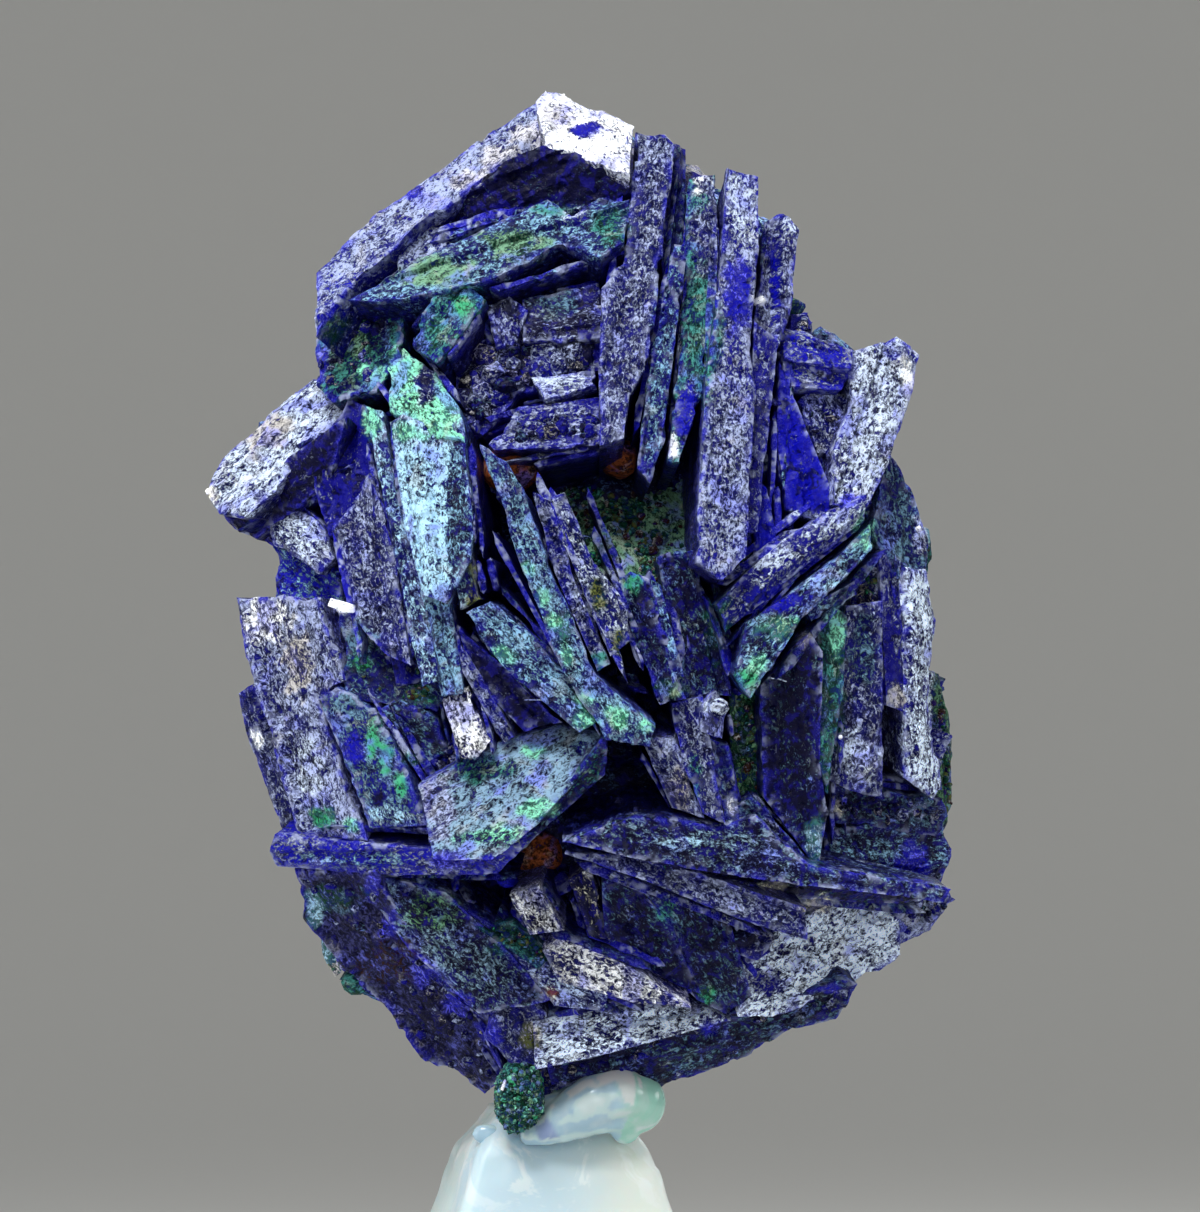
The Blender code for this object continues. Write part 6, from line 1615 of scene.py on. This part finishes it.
def add_moss_on(piece, name, count, size, looks, chance, template):
    """Grains over the face of a front blade."""
    set_back, depth, turn_right, turn_up, outline = FRONT_BLADES[name]
    across, down = middle_of(outline)
    to_right, upwards = swell_slope(across, down)
    face = -(FRONT_SWELL * swell(across, down) - set_back)
    slope_right = -FRONT_SWELL * to_right * FACE_FOLLOW + turn_right
    slope_up = -FRONT_SWELL * upwards * FACE_FOLLOW + turn_up
    points = np.array(outline)
    low, high = points.min(0), points.max(0)
    while count > 0:
        u, v = chance.uniform(low[0], high[0]), chance.uniform(low[1], high[1])
        radius = chance.uniform(*size)
        spot = np.array([(u, v)])
        if not within(spot, points)[0] or distance_to(spot, points)[0] < radius + EDGE_MARGIN:
            continue
        count -= 1
        y = face + slope_right * (u - across) - slope_up * (v - down)
        at = to_space([(u, v, y + chance.uniform(-0.15, 0.25))])[0]
        shape = np.array([chance.uniform(0.6, 1.4), chance.uniform(0.6, 1.1), chance.uniform(0.6, 1.4)])
        add_granule(piece, at, radius * shape, chance.choice(looks), chance, template)


def bulge_at(across, down):
    """Depth of the front's bulge at a drawn point."""
    return -FRONT_SWELL * swell(across, down)


def build_rubble(crystal):
    """Angular grains on the rougher blades, and the loose flakes and fibres caught on them."""
    chance = random.Random(47)
    piece = Piece()
    angular = ball_template(1)
    for name, (count, size) in CHUNKS.items():
        add_moss_on(piece, name, count, size, CHUNK_LOOKS, chance, angular)
    for across, down, out, length, width, angle, look in FLAKES:
        foot = to_space([(across, down, bulge_at(across, down) - out)])[0]
        way = np.array([math.cos(angle), -0.15, math.sin(angle)])
        add_shard(piece, foot - way * length * 0.5, way, length, width, 0.10, look, chance)
    for line in FIBRES:
        for start, end in zip(line, line[1:]):
            first, last = [to_space([(u, v, bulge_at(u, v) - 0.35)])[0] for u, v in (start, end)]
            way = last - first
            add_shard(piece, first, way, np.linalg.norm(way) * 1.06, 0.05, 0.04, ("lilac", "frost", 1.0, 0.0), chance)
    finished(piece.make("rubble_and_flakes", 24.0), "azurite_cluster", crystal)


def build_malachite(crust):
    chance = random.Random(31)
    piece = Piece()
    grain_ball = ball_template(1)
    coarse = ball_template(3)
    across, down, depth, half_width, half_depth, half_height = MALACHITE_BALL
    middle = to_space([(across, down, depth)])[0]
    add_granule(piece, middle, np.array([half_width, half_depth, half_height]) * 0.88, ("pine", "teal", 0.5, 0.0),
                chance, coarse)
    for index in range(900):
        way = np.array([chance.gauss(0, 1), chance.gauss(0, 1), chance.gauss(0, 1)])
        way /= np.linalg.norm(way)
        radius = chance.uniform(0.05, 0.16)
        look = chance.choice((("pine", "malachite", 0.60, 0.0), ("pine", "moss", 0.70, 0.0), ("pine", "teal", 0.60, 0.0),
                              ("pine", "moss", 0.50, 0.0), ("teal", "mint", 0.60, 0.0)))
        reach = 0.88 + 0.10 * lattice(np.array([way]) * 2.2, 83)[0]
        add_granule(piece, middle + way * np.array([half_width, half_depth, half_height]) * reach,
                    np.array([radius, radius, radius * chance.uniform(0.6, 1.5)]), look, chance, grain_ball)
    for across, down, depth, half_width, half_depth, half_height in SMALL_LUMPS:
        middle = to_space([(across, down, depth)])[0]
        halves = np.array([half_width, half_depth, half_height])
        if (across, down) in RUST_AT:
            back, scale = RUST_AT[across, down]
            add_granule(piece, middle + np.array([0.0, back, 0.0]), halves * scale, ("bark", "rust", 0.8, 0.0), chance,
                        coarse)
            continue
        add_granule(piece, middle, halves * 0.95, MOSS_LOOKS[0], chance, coarse)
        add_moss(piece, middle, halves, 150, (0.06, 0.17), MOSS_LOOKS, chance, grain_ball)
    for name, (count, size) in CRUSTS.items():
        add_moss_on(piece, name, count, size, MOSS_LOOKS, chance, grain_ball)
    for across, down, out, half_width, half_depth, half_height, look in KNOBS:
        middle = to_space([(across, down, bulge_at(across, down) - out)])[0]
        add_granule(piece, middle, np.array([half_width, half_depth, half_height]), look, chance, ball_template(2))
    finished(piece.make("malachite_and_matrix", 60.0), "azurite_cluster", crust)


def rounded_ring(side, corner, height):
    """Points round a square with rounded corners, in millimetres."""
    half = 0.5 * side
    points = []
    for quarter in range(4):
        angle = quarter * 0.5 * math.pi
        along = np.array((-math.sin(angle), math.cos(angle)))
        out = np.array((math.cos(angle), math.sin(angle)))
        for share in np.linspace(-1.0, 1.0, 15)[:-1]:
            points.append(out * half + along * share * (half - corner))
        for step in range(5):
            turn = angle + (step / 5) * 0.5 * math.pi
            middle = out * (half - corner) + along * (half - corner)
            points.append(middle + corner * np.array((math.cos(turn), math.sin(turn))))
    return np.column_stack((points, np.full(len(points), height)))


def build_stand():
    """The tapered block with softened breaks in its slope, and a film of glue near its top."""
    sides = np.array([side for side, height in STAND_SIDES])
    heights = np.array([height for side, height in STAND_SIDES])
    levels = np.concatenate(([0.0, 0.06, 0.18], np.linspace(0.4, 12.0, 40), np.linspace(12.2, 16.3, 26)))
    shape = bmesh.new()
    rings = []
    for level in levels:
        near = np.clip(level + np.linspace(-0.35, 0.35, 9), 0.0, STAND_SIDES[-1][1])
        side = np.interp(near, heights, sides).mean() - 0.3 * math.exp(-level / 0.07)
        ring = rounded_ring(side, STAND_CORNER + 0.1, level)
        ripple = 0.035 * lattice(ring * 0.45, 61) + 0.012 * lattice(ring * 1.6, 67)
        film = eased(lattice(ring * 0.9 + 3.0, 71), 0.0, 0.25) * eased(np.full(len(ring), level), 12.6, 13.6)
        out = ring[:, :2] / np.linalg.norm(ring[:, :2], axis=1)[:, None]
        ring[:, :2] += out * (ripple + 0.10 * film)[:, None]
        rings.append([shape.verts.new(point * MM) for point in ring])
    for share in (0.8, 0.6, 0.4, 0.2):
        ring = rounded_ring(STAND_SIDES[-1][0] * share, STAND_CORNER * share, STAND_SIDES[-1][1])
        ring[:, 2] += 0.05 * lattice(ring * 1.1, 73)
        rings.append([shape.verts.new(point * MM) for point in ring])
    for low, high in zip(rings, rings[1:]):
        for index in range(len(low)):
            shape.faces.new((low[index - 1], low[index], high[index], high[index - 1]))
    shape.faces.new(rings[-1])
    shape.faces.new(rings[0][::-1])
    turn = Matrix.Rotation(math.radians(STAND_TURN), 4, "Z")
    bmesh.ops.transform(shape, matrix=turn, verts=shape.verts)
    bmesh.ops.recalc_face_normals(shape, faces=shape.faces)
    mesh = bpy.data.meshes.new("stand_block")
    shape.to_mesh(mesh)
    shape.free()
    mesh.shade_smooth()
    made = bpy.data.objects.new("stand_block", mesh)
    bpy.context.scene.collection.objects.link(made)
    finished(made, "pedestal", stand_material())


BEAD_LINE = [
    (21.2, 45.25, -3.75, 0.26), (21.9, 44.98, -3.85, 0.50), (22.8, 44.48, -3.85, 0.82),
    (23.7, 44.02, -3.70, 1.04), (24.6, 43.76, -3.40, 1.18), (25.35, 43.95, -2.95, 1.10),
]
SMEARS = [
    (19.5, 45.2, -3.05, 0.60, 0.34, 0.42), (20.3, 45.9, -3.35, 0.62, 0.30, 0.34), (19.2, 46.7, -3.35, 0.26, 0.30, 0.75),
    (20.9, 46.4, -3.6, 0.36, 0.26, 0.30),
]


def glue_tint_and_highlights(points):
    """Colour of the glue at each point: mint in the bulb, bluish and milky streaks along the bead, and white painted
    highlights on its upper side.
    """
    line = np.array(BEAD_LINE)
    path = to_space(line[:, :3])
    along = np.zeros(len(points))
    best = np.full(len(points), 1e9)
    above = np.zeros(len(points))
    for index, (start, end) in enumerate(zip(path, path[1:])):
        way = end - start
        share = np.clip((points - start) @ way / (way @ way), 0.0, 1.0)
        off = points - start - share[:, None] * way
        gap = np.linalg.norm(off, axis=1)
        nearer = gap < best
        best = np.where(nearer, gap, best)
        along = np.where(nearer, index + share, along)
        above = np.where(nearer, np.arctan2(off[:, 2] + 0.3 * off[:, 0], -off[:, 1]), above)
    tint_and_highlight = np.tile((0.72, 0.94, 0.96), (len(points), 1))

    def lay(colour, weight):
        nonlocal tint_and_highlight
        tint_and_highlight = tint_and_highlight + (np.array(colour) - tint_and_highlight) * weight[:, None]

    lines = lattice(np.column_stack((along * 1.1, above * 3.4, along * 0.0)), 91)
    lay((0.46, 0.88, 0.74), eased(along, 3.3, 4.4))
    lay((0.48, 0.72, 0.92), 0.8 * eased(lines, 0.15, 0.35) * (1.0 - eased(along, 3.6, 4.2)))
    lay((0.34, 0.42, 0.80), 0.8 * (1.0 - eased(np.abs(along - 0.9), 0.25, 0.5)) * (1.0 - eased(np.abs(above), 0.4, 0.9)))
    lay((0.82, 0.97, 0.98), 0.9 * eased(lines, -0.15, -0.40))
    # White notches along the bead's upper side and a thin white band over the top near the bulb: painted highlights.
    notched_highlight = eased(lattice(np.column_stack((along * 5.0, above, along * 0.0)), 93), -0.5, -0.1)
    lay((1.0, 1.0, 1.0), notched_highlight * (1.0 - eased(np.abs(above - 0.85), 0.14, 0.26)) * (along > 0.6) * (along < 4.5))
    lay((1.0, 1.0, 1.0), 0.8 * (1.0 - eased(np.abs(along - 4.0), 0.06, 0.16)) * (above > 0.0))
    return tint_and_highlight


def build_glue():
    """The pad, the bead, the drop and the smears beside them, run together."""
    shape = bmesh.new()
    balls = [(GLUE_PAD[:3], [half + 0.15 for half in GLUE_PAD[3:]]), (GLUE_DROP[:3], GLUE_DROP[3:])]
    balls += [(smear[:3], smear[3:]) for smear in SMEARS]
    for start, end in zip(BEAD_LINE, BEAD_LINE[1:]):
        for share in np.linspace(0.0, 1.0, 8):
            mixed_point = [a + (b - a) * share for a, b in zip(start, end)]
            radius = mixed_point[3] * (1.0 + 0.05 * math.sin(9.0 * mixed_point[0])) + 0.12
            balls.append((mixed_point[:3], [radius] * 3))
    for middle, halves in balls:
        made = bmesh.ops.create_icosphere(shape, subdivisions=4, radius=1.0)["verts"]
        at = to_space([middle])[0]
        for vert in made:
            vert.co = Vector(at + np.array(vert.co) * np.array(halves)) * MM
    mesh = bpy.data.meshes.new("glue_bulb")
    shape.to_mesh(mesh)
    shape.free()
    made = bpy.data.objects.new("glue_bulb", mesh)
    bpy.context.scene.collection.objects.link(made)
    remesh = made.modifiers.new("join", "REMESH")
    remesh.mode = "VOXEL"
    remesh.voxel_size = 0.11 * MM
    relax = made.modifiers.new("relax", "SMOOTH")
    relax.factor = 0.5
    relax.iterations = 6
    graph = bpy.context.evaluated_depsgraph_get()
    made.data = bpy.data.meshes.new_from_object(made.evaluated_get(graph))
    made.modifiers.clear()
    made.data.shade_smooth()
    points = np.array([vert.co for vert in made.data.vertices]) / MM
    made.data.attributes.new("tint_and_highlight", "FLOAT_VECTOR", "POINT").data.foreach_set(
        "vector", glue_tint_and_highlights(points).astype(np.float32).ravel())
    finished(made, "glue_bead", glue_material())


def build_stage():
    """A pale round floor that curves up into a plain wall on every side."""
    shape = bmesh.new()
    profile = [(0.0, 0.0), (0.15, 0.0), (0.3, 0.0)]
    profile += [(0.3 + 0.8 * math.sin(a), 1.0 - math.cos(a)) for a in np.linspace(0.06, math.pi / 2, 26)]
    profile.append((1.1, 1.8))
    line = [shape.verts.new((reach, 0.0, height)) for reach, height in profile]
    edges = [shape.edges.new(pair) for pair in zip(line, line[1:])]
    bmesh.ops.spin(shape, geom=line + edges, cent=(0, 0, 0), axis=(0, 0, 1), angle=2.0 * math.pi, steps=96,
                   use_merge=True)
    bmesh.ops.remove_doubles(shape, verts=shape.verts, dist=0.0001)
    mesh = bpy.data.meshes.new("floor")
    shape.to_mesh(mesh)
    shape.free()
    mesh.shade_smooth()
    floor = bpy.data.objects.new("floor", mesh)
    bpy.context.scene.collection.objects.link(floor)
    made, nodes, links, shader = new_material("pale_floor", 0.9, 1.3)
    shader.inputs["Base Color"].default_value = (0.66, 0.66, 0.64, 1.0)
    mesh.materials.append(made)


def add_light(name, place_at, target, radius, power, cone):
    """A soft lamp whose pool of light fades towards its rim."""
    data = bpy.data.lights.new(name, "SPOT")
    data.shadow_soft_size = radius
    data.spot_size = math.radians(cone)
    data.spot_blend = 1.0
    data.energy = power
    made = bpy.data.objects.new(name, data)
    made.location = place_at
    made.rotation_euler = (Vector(target) - Vector(place_at)).to_track_quat("-Z", "Y").to_euler()
    bpy.context.scene.collection.objects.link(made)


def build_lights():
    target = (0.0019, 0.0, 0.034)
    add_light("key", (-0.06, -0.15, 0.26), target, 0.06, 3.3, 50.0)
    add_light("front_fill", (0.05, -0.34, 0.05), target, 0.10, 0.45, 50.0)
    add_light("left_side", (-0.25, -0.05, 0.09), target, 0.06, 0.55, 50.0)
    add_light("right_side", (0.24, 0.04, 0.10), target, 0.06, 0.55, 50.0)
    add_light("rear", (0.10, 0.28, 0.17), target, 0.08, 1.3, 50.0)
    strip = bpy.data.lights.new("strip", "AREA")
    strip.shape = "RECTANGLE"
    strip.size, strip.size_y = 0.14, 0.012
    strip.energy = 0.05
    held = bpy.data.objects.new("strip", strip)
    held.location = (-0.03, -0.28, 0.13)
    held.rotation_euler = (math.radians(68.0), 0.0, math.radians(-6.0))
    bpy.context.scene.collection.objects.link(held)
    ceiling = bpy.data.lights.new("ceiling", "AREA")
    ceiling.size = 1.3
    ceiling.energy = 5.5
    held = bpy.data.objects.new("ceiling", ceiling)
    held.location = (0.0, 0.0, 1.35)
    bpy.context.scene.collection.objects.link(held)
    world = bpy.data.worlds.new("studio")
    world.use_nodes = True
    world.node_tree.nodes["Background"].inputs[0].default_value = (0.9, 0.93, 1.0, 1.0)
    world.node_tree.nodes["Background"].inputs[1].default_value = 0.10
    bpy.context.scene.world = world
    bpy.context.scene.view_settings.view_transform = "Standard"


def build_camera():
    data = bpy.data.cameras.new("camera")
    data.lens = 300.0
    data.sensor_width = 36.0
    data.clip_start = 0.01
    made = bpy.data.objects.new("camera", data)
    frame_height = 1212.0 / 25.0 * MM
    made.location = ((24.0 - AXIS_ACROSS) * MM, -frame_height * data.lens / data.sensor_width,
                     (FOOT_DOWN - 24.24) * MM)
    made.rotation_euler = (math.radians(90.0), 0.0, 0.0)
    bpy.context.scene.collection.objects.link(made)
    bpy.context.scene.camera = made


build_camera()
build_stage()
build_lights()
crystal = crystal_material("azurite_crystal", 6.4, 0.30, 0.72, 0.05)
crust = crystal_material("malachite_crust", 6.0, 0.45, 0.70, 0.04)
build_blades(crystal)
build_core(crystal)
build_rubble(crystal)
build_malachite(crust)
build_stand()
build_glue()
